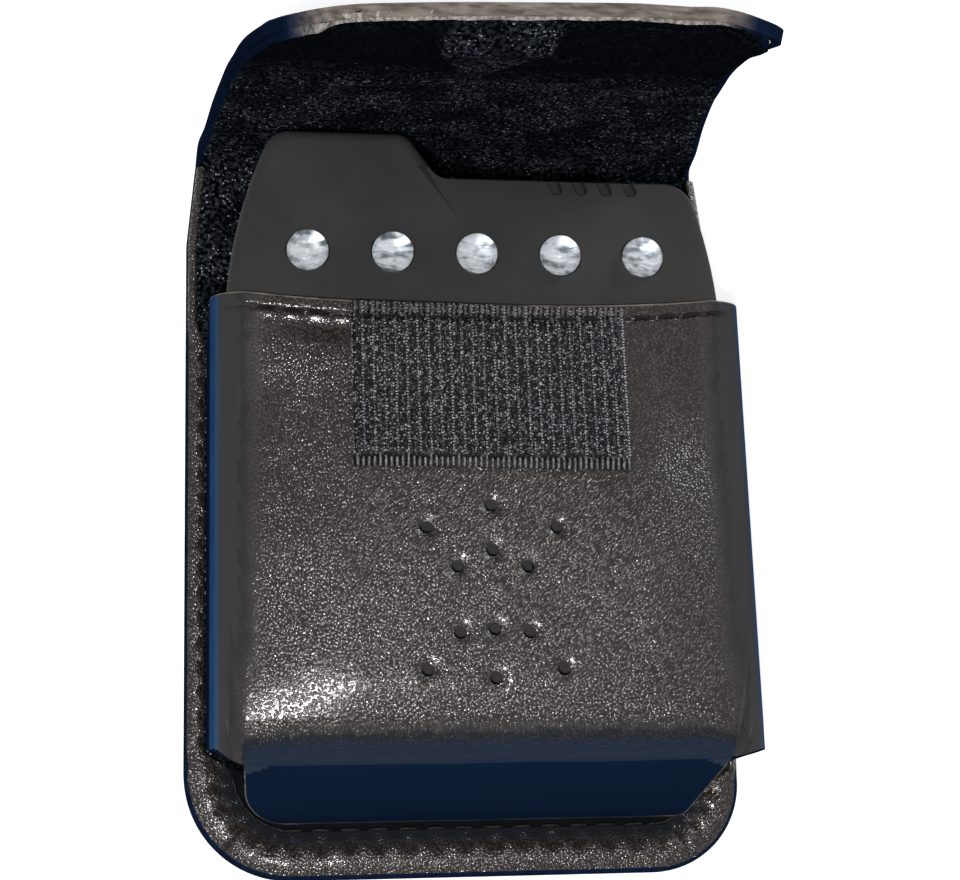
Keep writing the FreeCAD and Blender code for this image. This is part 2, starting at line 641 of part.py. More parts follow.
def pocket_leather():
    """Moulded one-piece pocket: front, side walls and bottom gusset."""
    shell = pocket_block(0, POCKET_EDGE).cut(pocket_block(POCKET_LEATHER, POCKET_INNER_EDGE))
    below = box(-panel_half - 1, panel_half + 1, panel_foot_y, hem_y + 5, rim_top_z - 3, rim_top_z)
    shell = shell.cut(below).cut(hem_cut())
    right = corner_cut()
    left = mirrored(right)
    for cut, side in ((right, 1), (left, -1)):
        cut.translate(Vector(POCKET_SHIFT, 0, 0))
        shell = shell.cut(cut)
    rounding = tongue_rounding()
    rounding.translate(Vector(POCKET_SHIFT, 0, 0))
    shell = shell.cut(rounding)
    for x, y in punch_places():
        place = Vector(POCKET_SHIFT + x, radio_y + PUNCH_CENTRE + y, pocket_front_z - 2 * POCKET_LEATHER)
        shell = shell.cut(rod(PUNCH_RADIUS, place, place + Vector(0, 0, 3 * POCKET_LEATHER)))
    return shell.removeSplitter()


def hook_patch():
    """Woven hook tape: a thin tape with a raised field of hooks between two plain bands."""
    left = PATCH_CENTRE_X - PATCH_WIDTH / 2
    right = PATCH_CENTRE_X + PATCH_WIDTH / 2
    low = patch_y - PATCH_HEIGHT / 2
    high = patch_y + PATCH_HEIGHT / 2
    tape_z = pocket_front_z + PATCH_TAPE
    tape = box(left, right, low, high, pocket_front_z, tape_z)
    hooks = box(left + 0.3, right - 0.3, low + PATCH_SELVAGE, high - PATCH_SELVAGE, tape_z, patch_top_z)
    return joined([tape, hooks])


def stitch(point, direction, z):
    """One visible stitch, lying on the leather."""
    half = direction.normalize() * (STITCH_LENGTH / 2)
    centre = Vector(point.x, point.y, z + THREAD_RADIUS)
    return rod(THREAD_RADIUS, centre - half, centre + half)


def stitches_along(path, z):
    """Row of stitches at an even pitch along a flat path."""
    count = max(2, int(path.Length / STITCH_PITCH) + 1)
    points = path.discretize(Number=2 * count - 1)
    row = []
    for place in range(1, len(points) - 1, 2):
        row.append(stitch(points[place], points[place + 1] - points[place - 1], z))
    return row


def rim_stitches():
    """Seam that holds the pocket on the case back: up both sides and round the foot."""
    left = POCKET_SHIFT - pocket_half - RIM_STITCH_OFFSET
    right = POCKET_SHIFT + pocket_half + RIM_STITCH_OFFSET
    foot = seam_y - FOOT_STITCH_OFFSET
    top = hem_y - 3
    corner = PANEL_CORNER - 3.5
    bend = corner * (1 - math.sqrt(0.5))
    path = Part.Wire([Part.makeLine(Vector(left, top, 0), Vector(left, foot + corner, 0)),
                      Part.Arc(Vector(left, foot + corner, 0), Vector(left + bend, foot + bend, 0),
                               Vector(left + corner, foot, 0)).toShape(),
                      Part.makeLine(Vector(left + corner, foot, 0), Vector(right - corner, foot, 0)),
                      Part.Arc(Vector(right - corner, foot, 0), Vector(right - bend, foot + bend, 0),
                               Vector(right, foot + corner, 0)).toShape(),
                      Part.makeLine(Vector(right, foot + corner, 0), Vector(right, top, 0))])
    return group(stitches_along(path, rim_top_z))


def hem_stitches():
    """Seam below the hem on each side of the hook patch."""
    y = hem_y - HEM_STITCH_OFFSET - HEM_DIP / 2
    patch_left = PATCH_CENTRE_X - PATCH_WIDTH / 2
    patch_right = PATCH_CENTRE_X + PATCH_WIDTH / 2
    inner = pocket_half - POCKET_EDGE
    rows = []
    for start, end in ((POCKET_SHIFT - inner, patch_left - 1), (patch_right + 1, POCKET_SHIFT + inner)):
        rows += stitches_along(Part.Wire(Part.makeLine(Vector(start, y, 0), Vector(end, y, 0))),
                               pocket_front_z)
    return group(rows)


def patch_stitches():
    """Seams that hold the hook patch, along its two plain bands."""
    rows = []
    inner = PATCH_HEIGHT / 2 - PATCH_SELVAGE / 2
    for y in (patch_y - inner, patch_y + inner):
        start = Vector(PATCH_CENTRE_X - PATCH_WIDTH / 2 + 1, y, 0)
        end = Vector(PATCH_CENTRE_X + PATCH_WIDTH / 2 - 1, y, 0)
        rows += stitches_along(Part.Wire(Part.makeLine(start, end)), pocket_front_z + PATCH_TAPE)
    return group(rows)


def loop_stitches():
    """Seams across the two sewn ends of the belt loop."""
    rows = []
    middle = LOOP_LENGTH / 2 - LOOP_SEWN / 2
    under = panel_rear_z - LOOP_LEATHER - 2 * THREAD_RADIUS
    for side in (-1, 1):
        for offset in (-LOOP_SEWN / 4, LOOP_SEWN / 4):
            y = side * middle + offset
            start = Vector(-LOOP_WIDTH / 2 + 1.5, y, 0)
            end = Vector(LOOP_WIDTH / 2 - 1.5, y, 0)
            rows += stitches_along(Part.Wire(Part.makeLine(start, end)), under)
    return group(rows)


# ================================================================ the radio's shells
def radio_block():
    """Outer body of the radio, with the corners of its outline rounded."""
    shoulder_x = SIDE_ARC - math.sqrt(SIDE_ARC ** 2 - (SHOULDER_HEIGHT - SIDE_STRAIGHT) ** 2)
    hump_x = SIDE_ARC - math.sqrt(SIDE_ARC ** 2 - (hump_height - SIDE_STRAIGHT) ** 2)
    mid_right = (SHOULDER_HEIGHT + SIDE_STRAIGHT) / 2
    mid_left = (hump_height + SIDE_STRAIGHT) / 2

    def on_side(sign, y):
        reach = SIDE_ARC - math.sqrt(SIDE_ARC ** 2 - (y - SIDE_STRAIGHT) ** 2)
        return Vector(sign * (radio_half - reach), y, 0)

    right_low = Vector(radio_half, 0, 0)
    right_mid = Vector(radio_half, SIDE_STRAIGHT, 0)
    right_top = Vector(radio_half - shoulder_x, SHOULDER_HEIGHT, 0)
    flank_low = Vector(HUMP_FLANK_X, SHOULDER_HEIGHT, 0)
    flank_top = Vector(HUMP_TOP_X, hump_height, 0)
    left_top = Vector(-radio_half + hump_x, hump_height, 0)
    left_mid = Vector(-radio_half, SIDE_STRAIGHT, 0)
    left_low = Vector(-radio_half, 0, 0)
    outline = Part.Wire([Part.makeLine(right_low, right_mid),
                         Part.Arc(right_mid, on_side(1, mid_right), right_top).toShape(),
                         Part.makeLine(right_top, flank_low),
                         Part.makeLine(flank_low, flank_top),
                         Part.makeLine(flank_top, left_top),
                         Part.Arc(left_top, on_side(-1, mid_left), left_mid).toShape(),
                         Part.makeLine(left_mid, left_low),
                         Part.makeLine(left_low, right_low)])
    block = Part.Face(outline).extrude(Vector(0, 0, radio_depth))
    for corners, radius in (((left_low, right_low), FOOT_CORNER), ((right_top,), SHOULDER_CORNER),
                            ((left_top,), HUMP_CORNER), ((flank_low, flank_top), FLANK_ROUND)):
        chosen = [edge for edge in block.Edges for corner in corners
                  if abs(edge.CenterOfMass.x - corner.x) + abs(edge.CenterOfMass.y - corner.y) < 0.01]
        block = block.makeFillet(radius, chosen)
    return block


def inner_block(gap, z0, z1):
    """Radio's outline drawn in by a gap, between two heights."""
    foot = [face for face in radio_block().Faces if face.BoundBox.ZMax < 0.01][0]
    outline = foot.makeOffset2D(-gap)
    solid = outline.extrude(Vector(0, 0, z1 - z0))
    solid.translate(Vector(0, 0, z0 - outline.BoundBox.ZMin))
    return solid


def rounded_block():
    """Outer body with the edges of its face and of its back rounded."""
    block = radio_block()
    rims = edges_where(block, lambda p: p.z < 0.01) + edges_where(block, lambda p: p.z > radio_depth - 0.01)
    return block.makeFillet(FACE_ROUND, rims)


def led_x(number):
    """Place of an LED across the radio."""
    return (number - (LED_COUNT - 1) / 2) * LED_PITCH


def wheel_places():
    """Centres of the volume wheel and of the tuning wheel."""
    side = radio_half - SIDE_ARC + math.sqrt(SIDE_ARC ** 2 - (tuning_y - SIDE_STRAIGHT) ** 2)
    return (VOLUME_X, volume_y), (side + WHEEL_PROUD - WHEEL_RADIUS, tuning_y)


def face_fall():
    """Piece taken off the face beside the hump, where the shoulder curves down to its top edge."""
    low_y = SHOULDER_HEIGHT - SHOULDER_SLOPE
    top = SHOULDER_HEIGHT + CUT_OVER
    axis_z = radio_depth - shoulder_arc
    side = box(-radio_half, radio_half, low_y, top, radio_depth - 2 * SHOULDER_DROP, radio_depth + CUT_OVER)
    side = side.cut(rod(shoulder_arc, Vector(-radio_half, low_y, axis_z), Vector(radio_half, low_y, axis_z)))
    crease_top = HUMP_FLANK_X - (FLANK_FOOT_X - HUMP_FLANK_X) * CUT_OVER / SHOULDER_SLOPE
    floor = [(FLANK_FOOT_X, low_y), (crease_top, top), (radio_half, top), (radio_half, low_y)]
    low_z = radio_depth - 2 * SHOULDER_DROP
    high_z = radio_depth + CUT_OVER
    lower = Part.makePolygon([Vector(x, y, low_z) for x, y in floor + floor[:1]])
    spread = FLANK_LEAN * (high_z - low_z) / SHOULDER_DROP
    wider = [(x - spread if x < radio_half else x, y) for x, y in floor]
    upper = Part.makePolygon([Vector(x, y, high_z) for x, y in wider + wider[:1]])
    return side.common(Part.makeLoft([lower, upper], True, True))


def edge_slots():
    """Four short slanted grooves over the top right edge of the face."""
    slant = math.radians(SLOT_SLANT)
    fall = math.degrees(math.asin((SHOULDER_SLOPE - SLOT_DROP / 2) / shoulder_arc))
    length = SLOT_DROP / math.cos(slant) - SLOT_WIDTH / 2
    cutters = []
    for number in range(SLOT_COUNT):
        round_end = rod(SLOT_WIDTH / 2, Vector(0, -length, -SLOT_DEPTH), Vector(0, -length, CUT_OVER))
        run = box(-SLOT_WIDTH / 2, SLOT_WIDTH / 2, -length, FACE_ROUND, -SLOT_DEPTH, CUT_OVER)
        cutter = joined([round_end, run])
        cutter.rotate(Vector(0, 0, 0), Vector(0, 0, 1), SLOT_SLANT)
        cutter.rotate(Vector(0, 0, 0), Vector(1, 0, 0), -fall)
        cutter.translate(Vector(SLOT_FIRST_X + number * SLOT_PITCH, SHOULDER_HEIGHT,
                                radio_depth - SHOULDER_DROP))
        cutters.append(cutter)
    return cutters


def grille_places():
    """Hole centres of the loudspeaker grille, in even rows."""
    places = []
    row_pitch = GRILLE_PITCH * math.sqrt(3) / 2
    rows = int(GRILLE_RADIUS / row_pitch)
    for row in range(-rows, rows + 1):
        for column in range(-4, 5):
            x = (column + (row % 2) / 2) * GRILLE_PITCH
            y = row * row_pitch
            if math.hypot(x, y) <= GRILLE_RADIUS:
                places.append((x, speaker_y + y))
    return places


def front_shell():
    """Front half of the radio's case, with its LED holes, slots, grille and screw bosses."""
    shell = rounded_block().common(box(-radio_half, radio_half, -1, hump_height + 1, parting, radio_depth))
    cavity = inner_block(WALL, parting - 1, inner_face)
    shell = shell.cut(cavity)
    bosses = [rod(BOSS_RADIUS, Vector(x, y, board_face), Vector(x, y, inner_face)) for x, y in screw_places]
    seat_floor = inner_face - SEAT_HEIGHT
    seat_outer = SPEAKER_RADIUS + SEAT_GAP + SEAT_WALL
    seat = rod(seat_outer, Vector(0, speaker_y, seat_floor), Vector(0, speaker_y, inner_face))
    seat = seat.cut(rod(SPEAKER_RADIUS + SEAT_GAP, Vector(0, speaker_y, seat_floor - 1),
                        Vector(0, speaker_y, inner_face + 1)))
    low_y = SHOULDER_HEIGHT - SHOULDER_SLOPE
    pad = box(-radio_half, radio_half, low_y, hump_height, inner_face - SHOULDER_PAD, inner_face)
    added = [piece.common(inner_block(WALL / 2, parting, radio_depth)) for piece in bosses + [seat, pad]]
    shell = shell.multiFuse(added).cut(face_fall())
    cuts = [rod(SCREW_RADIUS + SCREW_FIT, Vector(x, y, parting), Vector(x, y, screw_tip + SCREW_TIP_GAP))
            for x, y in screw_places]
    for number in range(LED_COUNT):
        place = Vector(led_x(number), led_row, inner_face - 1)
        cuts.append(rod(LED_RADIUS + LED_HOLE_GAP, place, place + Vector(0, 0, WALL + 2)))
    for x, y in grille_places():
        place = Vector(x, y, inner_face - 0.5)
        cuts.append(rod(GRILLE_HOLE_RADIUS, place, place + Vector(0, 0, WALL + 1)))
    for cutter in cuts + edge_slots():
        shell = shell.cut(cutter)
    return shell.removeSplitter()


def door_opening():
    """Opening that the battery door fills, with the grooves for its rails."""
    plate = box(-bay_half, bay_half, -1, bay_end, -1, WALL)
    grooves = box(-bay_half - DOOR_RAIL, bay_half + DOOR_RAIL, -1, bay_end,
                  DOOR_RAIL_UP - DOOR_RAIL_GAP, DOOR_RAIL_UP + DOOR_RAIL_HEIGHT + DOOR_RAIL_GAP)
    return plate.fuse(grooves)


def rear_shell():
    """Rear half of the radio's case, with the cell bay, screw posts and wheel slots."""
    shell = rounded_block().common(box(-radio_half, radio_half, -1, hump_height + 1, 0, parting))
    shell = shell.cut(inner_block(WALL, WALL, parting + 1))
    posts = [rod(BOSS_RADIUS, Vector(x, y, 0), Vector(x, y, board_rear)) for x, y in screw_places]
    posts = [post.common(inner_block(WALL + 0.2, 0, board_rear)) for post in posts]
    outer = bay_half + BAY_WALL
    bay = box(-outer, outer, BAY_FOOT - BAY_WALL, bay_end + BAY_WALL, 0, bay_outer_top)
    skin = box(-outer - 1, outer + 1, -1, bay_end + 3, -1, WALL / 2)
    bay = bay.cut(skin)
    shell = shell.multiFuse(posts + [bay])
    shell = shell.cut(box(-bay_half, bay_half, BAY_FOOT, bay_end, WALL / 2, bay_ceiling))
    shell = shell.cut(door_opening())
    for x, y in screw_places:
        shell = shell.cut(rod(SCREW_RADIUS + SCREW_FIT, Vector(x, y, -1), Vector(x, y, board_rear + 1)))
        shell = shell.cut(rod(SCREW_HEAD_RADIUS + SCREW_HEAD_GAP, Vector(x, y, -CUT_OVER),
                              Vector(x, y, screw_head_top)))
    slot_low = wheel_rear - WHEEL_SLOT_GAP
    for x, y in wheel_places():
        shell = shell.cut(rod(WHEEL_RADIUS + WHEEL_SLOT_GAP, Vector(x, y, slot_low), Vector(x, y, parting + 1)))
    for row, y in enumerate(cell_rows):
        tab_half = PLATE_THICKNESS / 2 + TAB_PLAY
        shell = shell.cut(box(-bay_half - BAY_WALL - CUT_OVER / 2, -bay_half + CUT_OVER,
                              y - TAB_HALF - TAB_PLAY, y + TAB_HALF + TAB_PLAY,
                              tab_levels[row] - tab_half, tab_levels[row] + tab_half))
    return shell.removeSplitter()


def battery_door():
    """Sliding door over the cells, with a rail on each side and finger grips."""
    half = bay_half - DOOR_GAP
    plate = box(-half, half, 0, bay_end - DOOR_GAP, 0, WALL - 0.1)
    plate = plate.common(rounded_block())
    rails = box(-half - DOOR_RAIL + DOOR_GAP / 2, half + DOOR_RAIL - DOOR_GAP / 2, 1.5, bay_end - DOOR_GAP,
                DOOR_RAIL_UP, DOOR_RAIL_UP + DOOR_RAIL_HEIGHT)
    door = joined([plate, rails])
    for number in range(DOOR_GRIPS):
        y = 4.0 + number * DOOR_GRIP_PITCH
        door = door.cut(box(-8, 8, y, y + DOOR_GRIP_PITCH / 2, -1, DOOR_GRIP_DEPTH))
    return door


def shell_screws():
    """Four screws that close the radio from behind."""
    screws = []
    for x, y in screw_places:
        head = rod(SCREW_HEAD_RADIUS, Vector(x, y, SCREW_RECESS), Vector(x, y, screw_head_top))
        shank = rod(SCREW_RADIUS, Vector(x, y, screw_head_top), Vector(x, y, screw_tip))
        low, floor = SCREW_RECESS - CUT_OVER, SCREW_RECESS + SCREW_CROSS_DEPTH
        cross = [box(x - SCREW_CROSS_REACH, x + SCREW_CROSS_REACH, y - SCREW_CROSS_HALF,
                     y + SCREW_CROSS_HALF, low, floor),
                 box(x - SCREW_CROSS_HALF, x + SCREW_CROSS_HALF, y - SCREW_CROSS_REACH,
                     y + SCREW_CROSS_REACH, low, floor)]
        screws.append(joined([head, shank]).cut(cross[0]).cut(cross[1]))
    return group(screws)


# ================================================================ the radio's inside
def circuit_board():
    """Board clamped between the screw posts, with holes for screws and LED leads."""
    board = inner_block(WALL + BOARD_EDGE_GAP, board_rear, board_face)
    board = board.cut(box(-radio_half, radio_half, -1, BOARD_FOOT, board_rear - 1, board_face + 1))
    for x, y in screw_places:
        board = board.cut(rod(SCREW_RADIUS + 0.2, Vector(x, y, board_rear - 1), Vector(x, y, board_face + 1)))
    for number in range(LED_COUNT):
        for side in (-1, 1):
            x = led_x(number) + side * LEAD_PITCH / 2
            board = board.cut(rod(LEAD_SIZE * 0.8, Vector(x, led_row, board_rear - 1),
                                  Vector(x, led_row, board_face + 1)))
    return board


def led_frame(number):
    """The two metal leads of one LED, with the reflector cup on top of one of them."""
    x = led_x(number)
    top = radio_depth - ANVIL_DROP
    half = LEAD_SIZE / 2
    pieces = []
    for side, height, width in ((-1, top, 0.9), (1, top - 0.7, 0.5)):
        centre = x + side * LEAD_PITCH / 2
        lead = box(centre - half, centre + half, led_row - half, led_row + half,
                   board_rear + LEAD_END, height - ANVIL_HEIGHT)
        inner = centre - side * width
        head = box(min(centre + side * half, inner), max(centre + side * half, inner),
                   led_row - half, led_row + half, height - ANVIL_HEIGHT, height)
        pieces.append(joined([lead, head]))
    return pieces


def led_lens(number):
    """Clear epoxy body of one LED: flange, barrel and dome, moulded round its leads."""
    x = led_x(number)
    base = Vector(x, led_row, led_flange_z)
    barrel_top = Vector(x, led_row, radio_depth)
    flange = rod(LED_FLANGE_RADIUS, base, base + Vector(0, 0, LED_FLANGE))
    barrel = rod(LED_RADIUS, base, barrel_top)
    dome = Part.makeSphere(LED_RADIUS, barrel_top)
    lens = joined([flange, barrel, dome])
    for lead in led_frame(number):
        for solid in lead.Solids:
            room = solid.BoundBox
            lens = lens.cut(solid)
            lens = lens.cut(box(room.XMin - LEAD_FIT, room.XMax + LEAD_FIT, room.YMin - LEAD_FIT,
                                room.YMax + LEAD_FIT, room.ZMax - ANVIL_HEIGHT - LEAD_FIT,
                                room.ZMax + LEAD_FIT))
    return lens.removeSplitter()


def led_leads():
    """Lead frames of all five LEDs."""
    pieces = []
    for number in range(LED_COUNT):
        pieces += led_frame(number)
    return group(pieces)


def speaker_frame():
    """Pressed metal cup of the loudspeaker."""
    floor = Vector(0, speaker_y, speaker_rear)
    cup = rod(SPEAKER_RADIUS, floor, floor + Vector(0, 0, SPEAKER_HEIGHT))
    inside = rod(SPEAKER_RADIUS - SPEAKER_RIM, floor + Vector(0, 0, SPEAKER_PLATE),
                 floor + Vector(0, 0, SPEAKER_HEIGHT + 1))
    return cup.cut(inside)


def speaker_magnet():
    """Round magnet on the floor of the cup."""
    floor = Vector(0, speaker_y, speaker_rear + SPEAKER_PLATE)
    return rod(MAGNET_RADIUS, floor, floor + Vector(0, 0, MAGNET_HEIGHT))


def speaker_cone():
    """Shallow paper cone with a domed dust cap, carried by the cup's rim."""
    outer = SPEAKER_RADIUS - SPEAKER_RIM - 0.05
    top = speaker_top - 0.3
    low = speaker_rear + SPEAKER_PLATE + MAGNET_HEIGHT + 0.3
    t = CONE_THICKNESS
    rise = low + DUST_CAP_RISE
    outline = [Vector(0, 0, rise), Vector(CONE_INNER, 0, low), Vector(outer - 1.5, 0, top - t),
               Vector(outer, 0, top - t), Vector(outer, 0, top), Vector(outer - 1.7, 0, top),
               Vector(CONE_INNER, 0, low + t), Vector(0, 0, rise + t)]
    face = Part.Face(Part.makePolygon(outline + outline[:1]))
    cone = face.revolve(Vector(0, 0, 0), Vector(0, 0, 1), 360)
    cone.translate(Vector(0, speaker_y, 0))
    return cone


def speaker_gasket():
    """Felt ring between the loudspeaker and the front wall."""
    low = Vector(0, speaker_y, speaker_top)
    high = Vector(0, speaker_y, inner_face)
    ring = rod(SPEAKER_RADIUS, low, high)
    return ring.cut(rod(SPEAKER_RADIUS - GASKET_WIDTH, low - Vector(0, 0, 1), high + Vector(0, 0, 1)))


def speaker_wires():
    """Two short wires from the board to the side of the loudspeaker."""
    tubes = []
    for side in (-1, 1):
        x = side * SPEAKER_WIRE_X
        inset = WIRE_DIAMETER / 2
        rim_y = speaker_y + math.sqrt(SPEAKER_RADIUS ** 2 - (SPEAKER_WIRE_X - inset) ** 2)
        pad_y = speaker_y + SPEAKER_RADIUS + SPEAKER_WIRE_RUN
        level = board_face + SPEAKER_WIRE_RISE
        route = [(x, pad_y, board_face), (x, pad_y, level), (x, rim_y + SOLDER_GAP, level)]
        tubes.append(wire_tube(route, WIRE_BEND / 2, WIRE_DIAMETER))
    return group(tubes)


def cell(row):
    """One AAA cell; the two cells point opposite ways."""
    y = cell_rows[row]
    sign = 1 if row == 0 else -1
    tip = sign * (bay_half - PLATE_THICKNESS - CONTACT_GAP)
    shoulder = tip - sign * CELL_NUB
    back = shoulder - sign * CELL_BODY
    body = rod(CELL_RADIUS, Vector(back, y, cell_z), Vector(shoulder, y, cell_z))
    nub = rod(CELL_NUB_RADIUS, Vector(shoulder, y, cell_z), Vector(tip, y, cell_z))
    return joined([body, nub])


def contact_plates():
    """Sheet metal contacts: a bridge on the right, two single plates with tabs on the left."""
    plates = []
    low = cell_rows[0] - PLATE_HALF
    high = cell_rows[1] + PLATE_HALF
    plates.append(box(bay_half - PLATE_THICKNESS, bay_half, low, high, cell_z - PLATE_HALF,
                      cell_z + PLATE_HALF))
    for row, y in enumerate(cell_rows):
        plate = box(-bay_half, -bay_half + PLATE_THICKNESS, y - PLATE_HALF, y + PLATE_HALF,
                    cell_z - PLATE_HALF, cell_z + PLATE_HALF)
        tab_z = tab_levels[row]
        tab = box(channel_x - WIRE_DIAMETER / 2, -bay_half + PLATE_THICKNESS, y - TAB_HALF, y + TAB_HALF,
                  tab_z - PLATE_THICKNESS / 2, tab_z + PLATE_THICKNESS / 2)
        plates.append(joined([plate, tab]))
    return group(plates)


def contact_springs():
    """Bowed leaf spring at the flat end of each cell."""
    springs = []
    for y, sign in zip(cell_rows, (-1, 1)):
        root = sign * (bay_half - PLATE_THICKNESS)
        reach = -sign * (LEAF_LENGTH - CONTACT_GAP)
        inner = reach + sign * LEAF_THICKNESS
        foot = LEAF_FOOT - LEAF_THICKNESS * LEAF_LENGTH / (LEAF_FOOT - LEAF_TOP)
        bow = [(0, -LEAF_FOOT), (reach, -LEAF_TOP), (reach, LEAF_TOP), (0, LEAF_FOOT), (0, foot),
               (inner, LEAF_TOP - LEAF_THICKNESS / 2), (inner, -LEAF_TOP + LEAF_THICKNESS / 2), (0, -foot)]
        springs.append(prism([(root + x, y - LEAF_HALF, cell_z + z) for x, z in bow],
                             Vector(0, 2 * LEAF_HALF, 0)))
    return group(springs)


def battery_wires():
    """Two wires from the contact tabs up to the board, in the channel beside the bay."""
    tubes = []
    for row, y in enumerate(cell_rows):
        level = tab_levels[row] + (PLATE_THICKNESS + WIRE_DIAMETER) / 2
        rise_y = BOARD_FOOT + WIRE_RISE + (1 - row) * WIRE_STEP
        route = [(channel_x, y - TAB_HALF, level), (channel_x, rise_y, level),
                 (channel_x, rise_y, board_rear)]
        tubes.append(wire_tube(route, WIRE_BEND / 2, WIRE_DIAMETER))
    return group(tubes)


def wheel_pot(place):
    """Flat potentiometer under the board, with a blind bore for its shaft."""
    x, y = place
    low = board_rear - POT_HEIGHT
    body = rod(POT_RADIUS, Vector(x, y, low), Vector(x, y, board_rear))
    return body.cut(rod(SHAFT_RADIUS + SHAFT_FIT, Vector(x, y, low - 1), Vector(x, y, board_rear - POT_ROOF)))


def wheel_shaft(place):
    """Shaft that turns in the pot and carries the thumbwheel."""
    x, y = place
    foot = wheel_rear - SHAFT_STAND
    shaft = rod(SHAFT_RADIUS, Vector(x, y, foot), Vector(x, y, board_rear - POT_ROOF - SHAFT_FIT))
    bore = rod(WHEEL_SCREW_SHANK + WHEEL_SCREW_FIT, Vector(x, y, foot - 1),
               Vector(x, y, foot + WHEEL_SCREW_LENGTH + WHEEL_SCREW_FIT))
    return shaft.cut(bore)


def thumbwheel(place):
    """Thumbwheel with a notched rim."""
    x, y = place
    low = Vector(x, y, wheel_rear)
    wheel = rod(WHEEL_RADIUS, low, low + Vector(0, 0, WHEEL_THICKNESS))
    below, above = Vector(0, 0, -CUT_OVER), Vector(0, 0, WHEEL_THICKNESS + CUT_OVER)
    wheel = wheel.cut(rod(SHAFT_RADIUS + WHEEL_FIT, low + below, low + above))
    notches = []
    for number in range(WHEEL_NOTCHES):
        angle = 2 * math.pi * number / WHEEL_NOTCHES
        centre = low + Vector(math.cos(angle), math.sin(angle), 0) * WHEEL_RADIUS
        notches.append(rod(WHEEL_NOTCH_RADIUS, centre + below, centre + above))
    return wheel.cut(group(notches))


def wheel_screw(place):
    """Small screw that keeps the wheel on its shaft."""
    x, y = place
    head_top = wheel_rear - SHAFT_STAND
    head = rod(WHEEL_SCREW_HEAD, Vector(x, y, head_top - WHEEL_SCREW_HEIGHT), Vector(x, y, head_top))
    shank = rod(WHEEL_SCREW_SHANK, Vector(x, y, head_top), Vector(x, y, head_top + WHEEL_SCREW_LENGTH))
    slot = box(x - WHEEL_SCREW_HEAD, x + WHEEL_SCREW_HEAD, y - 0.25, y + 0.25,
               head_top - WHEEL_SCREW_HEIGHT - 1, head_top - WHEEL_SCREW_HEIGHT / 2)
    return joined([head, shank]).cut(slot)


def ferrite_rod():
    """Ferrite rod of the aerial, standing behind the hump."""
    return rod(ROD_RADIUS, Vector(ROD_X, rod_foot, rod_axis_z), Vector(ROD_X, rod_foot + ROD_LENGTH, rod_axis_z))


def aerial_coil():
    """Wound sleeve on the ferrite rod."""
    start = Vector(ROD_X, rod_foot + COIL_START, rod_axis_z)
    end = start + Vector(0, COIL_LENGTH, 0)
    reach = Vector(0, 1, 0)
    bore = rod(ROD_RADIUS + COIL_FIT, start - reach, end + reach)
    return rod(ROD_RADIUS + COIL_FIT + COIL_THICKNESS, start, end).cut(bore)


def aerial_clips():
    """Two plastic clips that hang the ferrite rod from the board."""
    clips = []
    half = ROD_RADIUS + COIL_FIT + CLIP_WALL
    for along in clip_starts:
        y = rod_foot + along
        block = box(ROD_X - half, ROD_X + half, y, y + CLIP_THICKNESS, rod_axis_z - half, board_rear)
        bore = rod(ROD_RADIUS + COIL_FIT, Vector(ROD_X, y - CUT_OVER, rod_axis_z),
                   Vector(ROD_X, y + CLIP_THICKNESS + CUT_OVER, rod_axis_z))
        clips.append(block.cut(bore))
    return group(clips)


def integrated_circuits():
    """Two chips on the front of the board, standing on their legs."""
    chips = []
    for x, y, length, width in CHIP_PLACES:
        low = board_face + CHIP_STAND
        body = box(x - length / 2, x + length / 2, y - width / 2, y + width / 2, low, low + CHIP_HEIGHT)
        legs = []
        count = int(length / CHIP_LEG_PITCH)
        for number in range(count):
            leg_x = x + (number - (count - 1) / 2) * CHIP_LEG_PITCH
            for side in (-1, 1):
                edge = y + side * width / 2
                far = edge + side * 0.7
                legs.append(box(leg_x - 0.25, leg_x + 0.25, min(edge, far), max(edge, far),
                                board_face, low + CHIP_HEIGHT / 2))
        chips.append(joined([body] + legs))
    return group(chips)


def transistors():
    """Small D-shaped transistors on three legs."""
    pieces = []
    for x, y in TRANSISTOR_PLACES:
        low = board_face + TRANSISTOR_STAND
        body = rod(TRANSISTOR_RADIUS, Vector(x, y, low), Vector(x, y, low + TRANSISTOR_HEIGHT))
        reach = TRANSISTOR_RADIUS + CUT_OVER
        body = body.common(box(x - reach, x + reach, y - TRANSISTOR_FLAT, y + reach,
                               low, low + TRANSISTOR_HEIGHT + CUT_OVER))
        legs = [box(x + offset - 0.22, x + offset + 0.22, y - 0.22, y + 0.22, board_face, low + 0.5)
                for offset in (-1.27, 0, 1.27)]
        pieces.append(joined([body] + legs))
    return group(pieces)


def resistors():
    """Small resistors lying on the front of the board."""
    pieces = []
    for x, y in RESISTOR_PLACES:
        z = board_face + RESISTOR_RADIUS + 0.05
        start = Vector(x - RESISTOR_LENGTH / 2, y, z)
        pieces.append(rod(RESISTOR_RADIUS, start, start + Vector(RESISTOR_LENGTH, 0, 0)))
    return group(pieces)


def capacitors():
    """Electrolytic capacitors hanging behind the board."""
    return group([rod(CAPACITOR_RADIUS, Vector(x, y, board_rear - CAPACITOR_HEIGHT), Vector(x, y, board_rear))
                  for x, y in CAPACITOR_PLACES])


def coil_cans():
    """Screening cans of the tuned coils, each with its core hole."""
    cans = []
    half = CAN_SIDE / 2
    low = board_rear - CAN_HEIGHT
    for x, y in CAN_PLACES:
        can = box(x - half, x + half, y - half, y + half, low, board_rear)
        core = rod(CAN_CORE_RADIUS, Vector(x, y, low - 1), Vector(x, y, low + CAN_CORE_RECESS))
        cans.append(can.cut(core))
    return group(cans)


